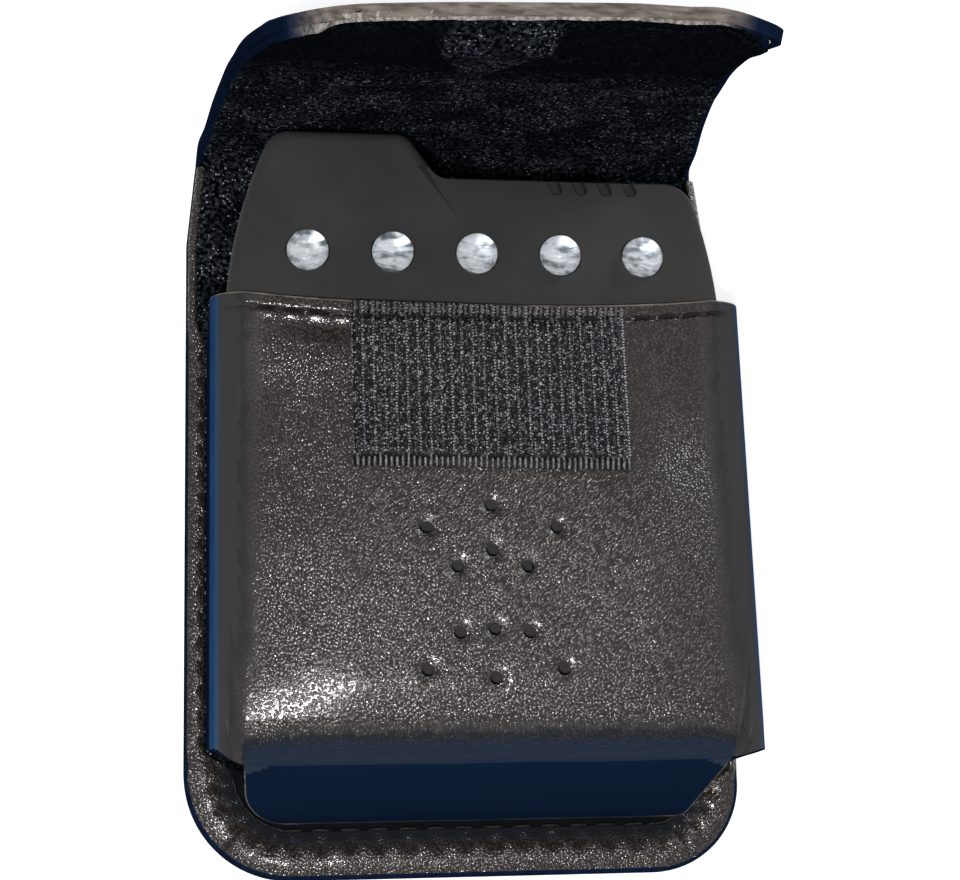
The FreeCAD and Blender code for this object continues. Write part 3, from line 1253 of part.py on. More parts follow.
def case_pieces():
    """All pieces of the leather case, by node name."""
    half = flap_thickness / 2
    split = FLAP_LINING - half
    return {
        "back_leather": back_leather(),
        "back_board": back_board(),
        "back_lining": back_lining(),
        "rim_binding": rim_binding(),
        "belt_loop": belt_loop(),
        "flap_spine_leather": flap_spine(split, half),
        "flap_spine_lining": flap_spine(-half, split),
        "flap_front_leather": flap_front(split, half),
        "flap_front_lining": flap_front(-half, split),
        "pocket_leather": pocket_leather(),
        "hook_patch": hook_patch(),
        "rim_stitches": rim_stitches(),
        "hem_stitches": hem_stitches(),
        "patch_stitches": patch_stitches(),
        "loop_stitches": loop_stitches(),
    }


def radio_pieces():
    """All pieces of the radio in its own frame, by node name."""
    volume, tuning = wheel_places()
    pieces = {
        "front_shell": front_shell(),
        "rear_shell": rear_shell(),
        "battery_door": battery_door(),
        "shell_screws": shell_screws(),
        "circuit_board": circuit_board(),
        "led_leads": led_leads(),
        "speaker_frame": speaker_frame(),
        "speaker_magnet": speaker_magnet(),
        "speaker_cone": speaker_cone(),
        "speaker_gasket": speaker_gasket(),
        "speaker_wires": speaker_wires(),
        "contact_plates": contact_plates(),
        "contact_springs": contact_springs(),
        "battery_wires": battery_wires(),
        "volume_pot": wheel_pot(volume),
        "volume_shaft": wheel_shaft(volume),
        "volume_wheel": thumbwheel(volume),
        "volume_screw": wheel_screw(volume),
        "tuning_pot": wheel_pot(tuning),
        "tuning_shaft": wheel_shaft(tuning),
        "tuning_wheel": thumbwheel(tuning),
        "tuning_screw": wheel_screw(tuning),
        "ferrite_rod": ferrite_rod(),
        "aerial_coil": aerial_coil(),
        "aerial_clips": aerial_clips(),
        "integrated_circuits": integrated_circuits(),
        "transistors": transistors(),
        "resistors": resistors(),
        "capacitors": capacitors(),
        "coil_cans": coil_cans(),
    }
    for number in range(LED_COUNT):
        pieces["led_%d" % (number + 1)] = led_lens(number)
    for row in range(2):
        pieces["cell_%d" % (row + 1)] = cell(row)
    return pieces


os.makedirs("parts", exist_ok=True)
all_pieces = case_pieces()
for name, shape in radio_pieces().items():
    all_pieces[name] = in_radio(shape)
for name, shape in all_pieces.items():
    shape.exportStep("parts/%s.step" % name)
    print(name, "solids", len(shape.Solids), "valid", shape.isValid(), "volume", round(shape.Volume, 1))
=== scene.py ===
"""Visual model of a five-lamp pocket radio in its leather belt case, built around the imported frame."""
import logging
import math
from collections.abc import Callable, Sequence
from dataclasses import dataclass, field
from enum import Enum
from typing import Any

import bmesh
import bpy
from mathutils import Matrix, Vector, noise


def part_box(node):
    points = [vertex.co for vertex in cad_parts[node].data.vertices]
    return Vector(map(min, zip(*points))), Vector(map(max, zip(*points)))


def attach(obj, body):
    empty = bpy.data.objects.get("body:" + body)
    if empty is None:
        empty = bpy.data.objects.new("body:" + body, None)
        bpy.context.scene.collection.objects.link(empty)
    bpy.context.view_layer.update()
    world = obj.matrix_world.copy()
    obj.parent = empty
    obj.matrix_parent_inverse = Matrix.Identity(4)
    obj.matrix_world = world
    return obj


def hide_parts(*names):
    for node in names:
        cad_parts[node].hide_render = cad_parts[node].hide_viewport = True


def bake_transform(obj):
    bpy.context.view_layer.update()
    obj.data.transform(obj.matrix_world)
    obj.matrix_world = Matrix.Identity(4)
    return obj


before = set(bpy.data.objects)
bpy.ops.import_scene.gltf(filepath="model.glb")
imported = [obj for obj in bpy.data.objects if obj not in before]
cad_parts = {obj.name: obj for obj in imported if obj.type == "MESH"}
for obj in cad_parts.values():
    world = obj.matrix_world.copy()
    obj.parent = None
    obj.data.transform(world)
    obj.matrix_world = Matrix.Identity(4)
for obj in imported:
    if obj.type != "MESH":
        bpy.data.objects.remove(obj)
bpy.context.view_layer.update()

log = logging.getLogger("pocket_radio")

MM = 0.001
MERGE = 0.0005  # points nearer than this, in mm, become one
Place = Callable[[float, float], Vector]


# ---------------------------------------------------------------- small tools
class Body(str, Enum):
    """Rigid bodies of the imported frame."""

    CASE = "case_and_radio"
    SPINE = "flap_spine"
    FRONT = "flap_front"


def mm_box(node: str) -> tuple[Vector, Vector]:
    """Gives a CAD node's box at rest in millimetres.

    Args:
        node: Name of the CAD node.

    Returns:
        Its lowest and highest corners.
    """
    low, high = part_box(node)
    return low / MM, high / MM


def smooth(low: float, high: float, value: float) -> float:
    """Rises smoothly from 0 at low to 1 at high.

    Args:
        low: Where the rise starts.
        high: Where the rise ends.
        value: Where it is read.

    Returns:
        A share from 0 to 1.
    """
    share = min(1.0, max(0.0, (value - low) / (high - low)))
    return share * share * (3 - 2 * share)


def bell(value: float, width: float) -> float:
    """Gives a bell curve that is 1 at zero and fades over width."""
    return math.exp(-(value / width) ** 2)


def ripple(x: float, y: float, size: float, seed: float = 0.0) -> float:
    """Gives a soft repeatable unevenness.

    Args:
        x: First coordinate in mm.
        y: Second coordinate in mm.
        size: Size of one ripple in mm.
        seed: Offset that picks another pattern.

    Returns:
        A value between about -1 and 1.
    """
    return noise.noise(Vector((x / size, y / size, seed)))


def steps(*stops: tuple[float, int]) -> list[float]:
    """Lays out grid lines, given as (end value, number of steps) after a first (start, 0).

    Args:
        stops: The start, then each stretch's end and its number of steps.

    Returns:
        The values of all grid lines.
    """
    values = [stops[0][0]]
    for end, count in stops[1:]:
        start = values[-1]
        values += [start + (end - start) * (i + 1) / count for i in range(count)]
    return values


def between(table: Sequence[Sequence[float]], key: float) -> list[float]:
    """Reads a table of rising keys with smooth curves between its rows.

    Args:
        table: Rows of a key and its values.
        key: Where the table is read.

    Returns:
        The values at that key.
    """
    last = len(table) - 1
    i = max(0, min(last - 1, sum(1 for row in table if row[0] <= key) - 1))
    a, b = table[i], table[i + 1]
    before, after = table[max(0, i - 1)], table[min(last, i + 2)]
    span = b[0] - a[0]
    t = min(1.0, max(0.0, (key - a[0]) / span))
    result = []
    for k in range(1, len(a)):
        rise_a = (b[k] - before[k]) / (b[0] - before[0]) * span
        rise_b = (after[k] - a[k]) / (after[0] - a[0]) * span
        result.append((2 * t**3 - 3 * t**2 + 1) * a[k] + (t**3 - 2 * t**2 + t) * rise_a
                      + (3 * t**2 - 2 * t**3) * b[k] + (t**3 - t**2) * rise_b)
    return result


# ---------------------------------------------------------------- meshes
class Cloth:
    """A sheet of leather or fabric whose grid lines follow its cut."""

    HOLE_REACH = 3.0  # mm above and below a hole that its cut reaches
    HOLE_RING = 1.6  # radii out to which the cut's points are drawn on to the circle

    def __init__(self, columns: Sequence[float], rows: Sequence[float]) -> None:
        """Lays out the flat grid.

        Args:
            columns: Values of the grid lines across, in mm.
            rows: Values of the grid lines along, in mm.
        """
        self.columns, self.rows = columns, rows
        self.bm = bmesh.new()
        across, along = len(columns) - 1, len(rows) - 1
        bmesh.ops.create_grid(self.bm, x_segments=across, y_segments=along, size=0.5)
        self.i = self.bm.verts.layers.int.new("i")
        self.j = self.bm.verts.layers.int.new("j")
        uv = self.bm.loops.layers.uv.new("cut")
        for vert in self.bm.verts:
            vert[self.i] = round((vert.co.x + 0.5) * across)
            vert[self.j] = round((vert.co.y + 0.5) * along)
        for face in self.bm.faces:
            for loop in face.loops:
                loop[uv].uv = (columns[loop.vert[self.i]] * MM, rows[loop.vert[self.j]] * MM)

    def trim(self, gone: Callable[[float, float], bool]) -> None:
        """Cuts away part of the sheet.

        Args:
            gone: Whether a face goes, given the column and row numbers of its middle.
        """
        doomed = []
        for face in self.bm.faces:
            i = sum(v[self.i] for v in face.verts) / 4
            j = sum(v[self.j] for v in face.verts) / 4
            if gone(i, j):
                doomed.append(face)
        bmesh.ops.delete(self.bm, geom=doomed, context="FACES")

    def place(self, where: Place) -> None:
        """Moves each grid point to its place in mm, given its column and row values."""
        for vert in self.bm.verts:
            vert.co = where(self.columns[vert[self.i]], self.rows[vert[self.j]])

    def mark(self, name: str, value: Callable[[float, float], float]) -> None:
        """Stores a value per point for the materials.

        Args:
            name: Name that the materials read it by.
            value: The value, given column and row values.
        """
        layer = self.bm.verts.layers.float.new(name)
        for vert in self.bm.verts:
            vert[layer] = value(self.columns[vert[self.i]], self.rows[vert[self.j]])

    def punch(self, centre: Vector, radius: float) -> None:
        """Cuts a round hole through the sheet across Z.

        Args:
            centre: Middle of the hole in mm.
            radius: Its radius in mm.
        """
        def off(co: Vector) -> float:
            """Distance of a place from the hole's middle line."""
            return math.hypot(co.x - centre.x, co.y - centre.y)

        def level(co: Vector) -> bool:
            """Whether a place lies at the height of the hole."""
            return abs(co.z - centre.z) < self.HOLE_REACH

        near = [f for f in self.bm.faces
                if off(f.calc_center_median()) < radius and level(f.calc_center_median())]
        bmesh.ops.delete(self.bm, geom=near, context="FACES")
        for vert in self.bm.verts:
            distance = off(vert.co)
            if vert.is_boundary and distance < radius * self.HOLE_RING and level(vert.co):
                vert.co.x = centre.x + (vert.co.x - centre.x) * radius / distance
                vert.co.y = centre.y + (vert.co.y - centre.y) * radius / distance

    def middle(self, face: bmesh.types.BMFace) -> tuple[float, float]:
        """Gives the mean column and row values of a face.

        Args:
            face: The face.

        Returns:
            Its column and row values.
        """
        count = len(face.verts)
        return (sum(self.columns[v[self.i]] for v in face.verts) / count,
                sum(self.rows[v[self.j]] for v in face.verts) / count)

    def finish_with(self, index: int, where: Callable[[float, float], bool]) -> None:
        """Gives some faces a material of their own.

        Args:
            index: Place of the material in the object's list.
            where: Whether a face takes it, given its column and row values.
        """
        for face in self.bm.faces:
            if where(*self.middle(face)):
                face.material_index = index

    def face_towards(self, way: Vector) -> None:
        """Turns the sheet so that its faces look mostly one way.

        Args:
            way: The direction.
        """
        bmesh.ops.recalc_face_normals(self.bm, faces=self.bm.faces[:])
        if sum(f.normal.dot(way) * f.calc_area() for f in self.bm.faces) < 0:
            bmesh.ops.reverse_faces(self.bm, faces=self.bm.faces[:])

    def thicken(self, depth: float) -> list[bmesh.types.BMFace]:
        """Gives the sheet its thickness behind its faces.

        Args:
            depth: The thickness in mm.

        Returns:
            The faces of its cut edges.
        """
        count = len(self.bm.faces)
        bmesh.ops.solidify(self.bm, geom=self.bm.faces[:], thickness=depth)
        self.bm.faces.ensure_lookup_table()
        return self.bm.faces[2 * count:]


class Shape:
    """Turns bmesh work in millimetres into a finished object in metres."""

    @staticmethod
    def finish(name: str, bm: bmesh.types.BMesh, *materials: bpy.types.Material,
               crease: float = 42.0, recalc: bool = False) -> bpy.types.Object:
        """Makes the object, smooth but for edges sharper than crease.

        Args:
            name: Name of the piece.
            bm: Its mesh in mm, which is freed.
            materials: Its materials.
            crease: Angle in degrees above which an edge stays sharp.
            recalc: Whether the faces are turned outwards first.

        Returns:
            The new object.
        """
        loose = [v for v in bm.verts if not v.link_faces]
        bmesh.ops.delete(bm, geom=loose, context="VERTS")
        if recalc:
            bmesh.ops.remove_doubles(bm, verts=bm.verts[:], dist=MERGE)
            bmesh.ops.recalc_face_normals(bm, faces=bm.faces[:])
        bmesh.ops.scale(bm, vec=Vector((MM, MM, MM)), verts=bm.verts[:])
        bm.normal_update()
        limit = math.radians(crease)
        for face in bm.faces:
            face.smooth = True
        for edge in bm.edges:
            edge.smooth = not edge.is_manifold or edge.calc_face_angle(0.0) < limit
        mesh = bpy.data.meshes.new(name)
        bm.to_mesh(mesh)
        bm.free()
        for material in materials:
            mesh.materials.append(material)
        obj = bpy.data.objects.new(name, mesh)
        bpy.context.scene.collection.objects.link(obj)
        return obj

    @staticmethod
    def spun(profile: Sequence[tuple[float, float]], segments: int) -> bmesh.types.BMesh:
        """Turns a profile of (radius, height) points about Z into a closed shape.

        Args:
            profile: Points from the axis round to the axis again, in mm.
            segments: Steps of the turn.

        Returns:
            The turned mesh.
        """
        bm = bmesh.new()
        verts = [bm.verts.new((radius, 0, height)) for radius, height in profile]
        edges = [bm.edges.new(pair) for pair in zip(verts, verts[1:])]
        bmesh.ops.spin(bm, geom=verts + edges, cent=(0, 0, 0), axis=(0, 0, 1),
                       angle=math.tau, steps=segments, use_merge=True)
        bmesh.ops.remove_doubles(bm, verts=bm.verts[:], dist=MERGE)
        bmesh.ops.recalc_face_normals(bm, faces=bm.faces[:])
        return bm

    @staticmethod
    def copies(template: bmesh.types.BMesh, places: Sequence[Matrix]) -> bmesh.types.BMesh:
        """Repeats a small shape.

        Args:
            template: The shape in mm, which is freed.
            places: Where each copy goes, in mm.

        Returns:
            One mesh with all copies.
        """
        source = bpy.data.meshes.new("template")
        template.to_mesh(source)
        template.free()
        bm = bmesh.new()
        for place in places:
            first = len(bm.verts)
            bm.from_mesh(source)
            bm.verts.ensure_lookup_table()
            bmesh.ops.transform(bm, matrix=place, verts=bm.verts[first:])
        bpy.data.meshes.remove(source)
        return bm

    @staticmethod
    def thread(length: float, radius: float, arch: float) -> bmesh.types.BMesh:
        """Makes one stitch along X that dives at both ends.

        Args:
            length: Length between its ends in mm.
            radius: Radius of the thread in mm.
            arch: Height of its middle over its ends in mm.

        Returns:
            The stitch.
        """
        bm = bmesh.new()
        bmesh.ops.create_grid(bm, x_segments=6, y_segments=6, size=0.5)
        for vert in bm.verts:
            along, turn = vert.co.x * 2, (vert.co.y + 0.5) * math.tau
            thick = radius * math.sqrt(max(0.0, 1 - along**6))
            vert.co = Vector((along * length / 2, thick * math.cos(turn),
                              -thick * math.sin(turn) + arch * (1 - along**2)))
        bmesh.ops.remove_doubles(bm, verts=bm.verts[:], dist=MERGE)
        bmesh.ops.recalc_face_normals(bm, faces=bm.faces[:])
        return bm


# ---------------------------------------------------------------- node materials
Socket = bpy.types.NodeSocket


class Kind(Enum):
    """Kinds of shader node: type, inputs in the order they are given, result and settings."""

    AXES = ("ShaderNodeSeparateXYZ", (0,), 0, {})
    BLEND = ("ShaderNodeMix", (0, 6, 7), 2, {"data_type": "RGBA"})
    BUMP = ("ShaderNodeBump", ("Height", "Distance", "Normal"), 0, {})
    CELLS = ("ShaderNodeTexVoronoi", ("Vector", "Scale"), "Distance", {"feature": "F1"})
    CLOUD = ("ShaderNodeTexNoise", ("Vector", "Scale", "Detail"), 0, {})
    COLOURS = ("ShaderNodeSeparateColor", (0,), 0, {})
    DIVIDE = ("ShaderNodeMath", (0, 1), 0, {"operation": "DIVIDE"})
    HIGHER = ("ShaderNodeMath", (0, 1), 0, {"operation": "MAXIMUM"})
    LENGTHEN = ("ShaderNodeVectorMath", (0, "Scale"), 0, {"operation": "SCALE"})
    MAPPING = ("ShaderNodeMapping", ("Vector", "Scale", "Rotation"), 0, {})
    MARK = ("ShaderNodeAttribute", (), "Fac", {})
    MINUS = ("ShaderNodeMath", (0, 1), 0, {"operation": "SUBTRACT"})
    OUTPUT = ("ShaderNodeOutputMaterial", ("Surface",), None, {})
    PATH = ("ShaderNodeLightPath", (), 0, {})
    PEBBLES = ("ShaderNodeTexVoronoi", ("Vector", "Scale", "Smoothness"), "Distance",
               {"feature": "SMOOTH_F1"})
    PLACE = ("ShaderNodeTexCoord", (), "Object", {})
    PLUS = ("ShaderNodeMath", (0, 1), 0, {"operation": "ADD"})
    POWER = ("ShaderNodeMath", (0, 1), 0, {"operation": "POWER"})
    RANGE = ("ShaderNodeMapRange", ("Value", "From Min", "From Max", "To Min", "To Max"), 0,
             {"interpolation_type": "SMOOTHSTEP"})
    SHIFT = ("ShaderNodeVectorMath", (0, 1), 0, {"operation": "ADD"})
    SINE = ("ShaderNodeMath", (0,), 0, {"operation": "SINE"})
    SURFACE = ("ShaderNodeBsdfPrincipled", (), 0, {})
    TIMES = ("ShaderNodeMath", (0, 1), 0, {"operation": "MULTIPLY"})


def linear(hex_colour: str) -> tuple[float, float, float, float]:
    """Turns an sRGB hex colour into the linear one that shaders use.

    Args:
        hex_colour: Six hex digits.

    Returns:
        Linear red, green and blue, and an alpha of 1.
    """
    parts = [int(hex_colour[i:i + 2], 16) / 255 for i in (0, 2, 4)]
    red, green, blue = (p / 12.92 if p <= 0.04045 else ((p + 0.055) / 1.055) ** 2.4 for p in parts)
    return red, green, blue, 1.0


class Shader:
    """One material's node tree."""

    def __init__(self, name: str) -> None:
        """Starts the material with its surface shader.

        Args:
            name: Name of the material.
        """
        self.material = bpy.data.materials.new(name)
        self.material.use_nodes = True
        self.tree = self.material.node_tree
        self.tree.nodes.clear()
        surface = self.add(Kind.SURFACE)
        self.surface = surface.node
        self.add(Kind.OUTPUT, surface)

    def connect(self, socket: Socket, value: Any) -> None:
        """Links an input to another node's socket, or gives it a value.

        Args:
            socket: The input.
            value: The socket or the value.
        """
        if isinstance(value, Socket):
            self.tree.links.new(value, socket)
        else:
            socket.default_value = value

    def add(self, kind: Kind, *inputs: Any, **settings: Any) -> Socket | None:
        """Adds one node with its settings and links.

        Args:
            kind: What the node does.
            inputs: Value or socket for each of its inputs, in the order that its kind says.
            settings: Attributes of the node besides those of its kind.

        Returns:
            The socket of its result, if it has one.
        """
        type_name, names, result, fixed = kind.value
        new = self.tree.nodes.new(type_name)
        for key, value in {**fixed, **settings}.items():
            setattr(new, key, value)
        for name, value in zip(names, inputs):
            self.connect(new.inputs[name], value)
        return None if result is None else new.outputs[result]

    def set(self, **values: Any) -> None:
        """Sets or links the surface shader's inputs, with _ for a space in each name."""
        for key, value in values.items():
            self.connect(self.surface.inputs[key.replace("_", " ")], value)


@dataclass(frozen=True)
class GrainedLeather:
    """Chrome-tanned cowhide, pigmented black-brown, plated with a pebble grain and sealed.

    The plate leaves domes a third of a millimetre wide with a glossy lacquer on them, which glint
    one by one.  Where the leather is folded hard the plate never reached and the lacquer lies flat.
    """

    name: str = "grained_leather"
    base: str = "2a2522"
    crest: str = "524a46"
    flat: str = "302f30"
    # edge: navy painted reflection of blue surroundings on the pocket's side strips
    edge: str = "2e5078"
    # near-black painted shade where the fold turns away from the light
    painted_shade: str = "14181f"
    # shade: navy painted reflection on the tongue below the fold
    shade: str = "122239"
    grain: float = 0.32 * MM
    grain_softness: float = 0.3
    depth: float = 0.085 * MM
    dome: tuple[float, float] = (0.12, 0.62)
    groove: float = 0.6
    pit: float = 1.4
    pore: float = 0.2 * MM
    pore_share: float = 0.3
    drift: float = 0.5 * MM
    drift_size: float = 2 * MM
    patch: float = 6 * MM
    wrinkle: float = 2.2 * MM
    wrinkle_depth: float = 0.03 * MM
    pressing: float = 0.6
    roughness: float = 0.24
    sheen: float = 0.4
    lacquer: float = 1.0
    lacquer_roughness: float = 0.15
    lacquer_worn: float = 0.95

    def build(self) -> bpy.types.Material:
        """Builds the material."""
        s = Shader(self.name)
        where = s.add(Kind.PLACE)
        plain, shade, edge, pressed = (s.add(Kind.MARK, attribute_name=name)
                                       for name in ("plain", "shade", "edge", "pressed"))
        drift = s.add(Kind.CLOUD, where, 1 / self.drift_size).node.outputs["Color"]
        swept = s.add(Kind.SHIFT, where, s.add(Kind.LENGTHEN, drift, self.drift))
        reach = s.add(Kind.PEBBLES, swept, 1 / self.grain, self.grain_softness)
        broad = s.add(Kind.CLOUD, where, 1 / self.patch, 3.0)
        rough = s.add(Kind.TIMES, s.add(Kind.CLOUD, where, 1 / self.pore, 1.0), self.pore_share)
        height = s.add(Kind.PLUS, s.add(Kind.RANGE, reach, *self.dome, 0.0, -self.groove), rough)
        hollows = s.add(Kind.PLUS, s.add(Kind.TIMES, s.add(Kind.POWER, reach, 2.0), -self.pit), rough)

        raised = s.add(Kind.RANGE, height, -0.45, 0.12)
        tone = s.add(Kind.BLEND, raised, linear(self.base), linear(self.crest))
        tone = s.add(Kind.BLEND, s.add(Kind.RANGE, broad, 0.3, 0.75, 0.0, 0.4), tone, linear(self.base))
        tone = s.add(Kind.BLEND, plain, tone, linear(self.flat))
        # the edge mark paints the side strips navy as a reflection
        tone = s.add(Kind.BLEND, edge, tone, linear(self.edge))
        # the shade mark paints shade over the fold first, then a navy painted reflection on the tongue
        painted_shade = s.add(Kind.RANGE, shade, 0.0, 0.5)
        tone = s.add(Kind.BLEND, painted_shade, tone, linear(self.painted_shade))
        tone = s.add(Kind.BLEND, s.add(Kind.RANGE, shade, 0.5, 1.0), tone, linear(self.shade))

        grained = s.add(Kind.MINUS, 1.0, plain)
        spared = s.add(Kind.MINUS, 1.0, s.add(Kind.TIMES, pressed, self.pressing))
        relief = s.add(Kind.TIMES, grained, spared)
        wrinkles = s.add(Kind.CLOUD, where, 1 / self.wrinkle, 2.0)
        domes, pits = (s.add(Kind.BUMP, wrinkles, self.wrinkle_depth,
                             s.add(Kind.BUMP, s.add(Kind.TIMES, part, relief), self.depth))
                       for part in (height, hollows))
        gloss = s.add(Kind.RANGE, broad, 0.25, 0.8, self.roughness - 0.04, self.roughness + 0.06)
        dulled = s.add(Kind.TIMES, s.add(Kind.HIGHER, plain, painted_shade), 1 - self.roughness)
        kept = s.add(Kind.MINUS, 1.0, s.add(Kind.TIMES, shade, self.lacquer_worn))
        cover = s.add(Kind.TIMES, s.add(Kind.TIMES, grained, kept), self.lacquer)
        s.set(Base_Color=tone, Roughness=s.add(Kind.PLUS, gloss, dulled), IOR=1.5,
              Specular_IOR_Level=self.sheen, Normal=pits, Coat_Weight=cover,
              Coat_Roughness=self.lacquer_roughness, Coat_IOR=1.5, Coat_Normal=domes)
        return s.material


@dataclass(frozen=True)
class LoopLining:
    """Brushed nylon loop fabric, dyed near black.

    The nap is a mat of tiny loops, dark in mass; the glints of single fibres are painted on as pale spots,
    and a nap mark paints where the lining is lit and glinting and where it lies in shade.
    """

    name: str = "brushed_loop_nylon"
    pile: str = "030507"
    tuft: str = "3d434b"
    # fibre: colour of the painted glints
    fibre: str = "b4bcc4"
    loop: float = 0.3 * MM
    glint: float = 0.3 * MM
    fluff: float = 0.5 * MM
    clump: float = 5 * MM
    depth: float = 0.2 * MM
    haze: tuple[float, float, float, float] = (0.45, 0.6, 0.85, 1.0)

    def build(self) -> bpy.types.Material:
        """Builds the material."""
        s = Shader(self.name)
        where = s.add(Kind.PLACE)
        fluff = s.add(Kind.CLOUD, where, 1 / self.fluff, 4.0)
        mat = s.add(Kind.CELLS, where, 1 / self.loop)
        glint = s.add(Kind.CELLS, where, 1 / self.glint)
        which, width, strength = s.add(Kind.COLOURS, glint.node.outputs["Color"]).node.outputs
        clump = s.add(Kind.RANGE, s.add(Kind.CLOUD, where, 1 / self.clump, 2.0), 0.35, 0.65, 0.3, 1.0)
        # nap: painted light, how lit and glinting the lining is painted at a place
        nap = s.add(Kind.TIMES, s.add(Kind.MARK, attribute_name="nap"), clump)

        likely = s.add(Kind.PLUS, which, s.add(Kind.TIMES, nap, 0.55))
        size = s.add(Kind.PLUS, 0.28, s.add(Kind.TIMES, width, 0.3))
        spot = s.add(Kind.RANGE, s.add(Kind.DIVIDE, glint, size), 1.15, 0.4)
        spark = s.add(Kind.TIMES, spot, s.add(Kind.RANGE, likely, 0.97, 1.25))
        # tufts are painted lighter where the lining is lit: painted light
        lit = s.add(Kind.PLUS, 0.1, s.add(Kind.TIMES, nap, 0.9))
        fuzz = s.add(Kind.TIMES, s.add(Kind.RANGE, fluff, 0.42, 0.7), lit)
        tone = s.add(Kind.BLEND, fuzz, linear(self.pile), linear(self.tuft))
        # pale painted glints of single fibres
        bright = s.add(Kind.TIMES, spark, s.add(Kind.POWER, strength, 2.0))
        tone = s.add(Kind.BLEND, bright, tone, linear(self.fibre))
        height = s.add(Kind.PLUS, fluff, s.add(Kind.TIMES, mat, -0.6))
        s.set(Base_Color=tone, Roughness=0.8, IOR=1.5, Specular_IOR_Level=0.0, Sheen_Weight=0.004,
              Sheen_Roughness=0.5, Sheen_Tint=self.haze, Normal=s.add(Kind.BUMP, height, self.depth))
        return s.material


@dataclass(frozen=True)
class WovenTape:
    """Woven nylon fastener tape, black.

    The warp ribs show as fine upright lines and the loops between them as dots, both painted pale as glints
    of light.
    """

    name: str = "woven_nylon_tape"
    dark: str = "09090a"
    # light: colour of the painted glints on loops and ribs
    light: str = "c9c7cb"
    rib: float = 0.65 * MM
    line: float = 1.3 * MM
    pick: float = 0.36 * MM
    loop: float = 0.26 * MM
    fuzz: float = 0.3 * MM
    depth: float = 0.1 * MM

    def build(self) -> bpy.types.Material:
        """Builds the material."""
        s = Shader(self.name)
        where = s.add(Kind.PLACE)
        across, along, _ = s.add(Kind.AXES, where).node.outputs
        fuzz = s.add(Kind.CLOUD, where, 1 / self.fuzz, 3.0)
        wander = s.add(Kind.TIMES, s.add(Kind.MINUS, fuzz, 0.5), 2.0)
        loops = s.add(Kind.CELLS, where, 1 / self.loop)
        picked = s.add(Kind.COLOURS, loops.node.outputs["Color"])
        selvage = s.add(Kind.MARK, attribute_name="selvage")
        lines, picks, ribs = (
            s.add(Kind.SINE, s.add(Kind.PLUS, s.add(Kind.TIMES, axis, math.tau / pitch), wander))
            for axis, pitch in ((across, self.line), (along, self.pick), (across, self.rib)))

        dots = s.add(Kind.TIMES, s.add(Kind.RANGE, lines, 0.75, 0.95), s.add(Kind.RANGE, picks, -0.3, 0.6))
        tangle = s.add(Kind.TIMES, s.add(Kind.RANGE, loops, 0.6, 0.25),
                       s.add(Kind.RANGE, picked, 0.45, 1.0))
        inner = s.add(Kind.MINUS, 1.0, selvage)
        body = s.add(Kind.TIMES, s.add(Kind.HIGHER, dots, tangle), inner)
        border = s.add(Kind.TIMES, s.add(Kind.RANGE, ribs, -0.4, 0.8), selvage)
        border = s.add(Kind.TIMES, border, s.add(Kind.RANGE, fuzz, 0.3, 0.75, 0.1, 0.6))
        # weave: where the black tape is painted pale as glints
        weave = s.add(Kind.HIGHER, body, border)
        s.set(Base_Color=s.add(Kind.BLEND, weave, linear(self.dark), linear(self.light)), Roughness=0.5,
              IOR=1.53, Specular_IOR_Level=0.3, Normal=s.add(Kind.BUMP, weave, self.depth))
        return s.material


@dataclass(frozen=True)
class Plain:
    """A moulded, cast, woven or plated surface with slight mottling and a fine texture.

    The mottling and the texture keep the surface from looking like paint out of a tin.
    """

    name: str
    colour: str
    second: str
    patch: float = 3.0 * MM
    texture: float = 0.2 * MM
    depth: float = 0.01 * MM
    roughness: float = 0.5
    metallic: float = 0.0
    ior: float = 1.5
    stretch: tuple[float, float, float] = (1.0, 1.0, 1.0)
    specular: float = 0.5
    # mark: blends towards the marked colour; the cut edges use it for a navy painted reflection
    mark: str = ""
    marked: str = "000000"
    unevenness: float = 0.05

    def build(self) -> bpy.types.Material:
        """Builds the material."""
        s = Shader(self.name)
        where = s.add(Kind.MAPPING, s.add(Kind.PLACE), self.stretch)
        broad = s.add(Kind.CLOUD, where, 1 / self.patch, 3.0)
        fine = s.add(Kind.CLOUD, where, 1 / self.texture, 2.0)
        share = s.add(Kind.RANGE, broad, 0.3, 0.7)
        tone = s.add(Kind.BLEND, share, linear(self.colour), linear(self.second))
        if self.mark:
            tone = s.add(Kind.BLEND, s.add(Kind.MARK, attribute_name=self.mark), tone, linear(self.marked))
        gloss = s.add(Kind.RANGE, broad, 0.25, 0.75, self.roughness - self.unevenness,
                      self.roughness + self.unevenness)
        s.set(Base_Color=tone, Metallic=self.metallic, Roughness=gloss,
              Normal=s.add(Kind.BUMP, fine, self.depth))
        if self.metallic < 0.5:
            s.set(IOR=self.ior, Specular_IOR_Level=self.specular)
        return s.material


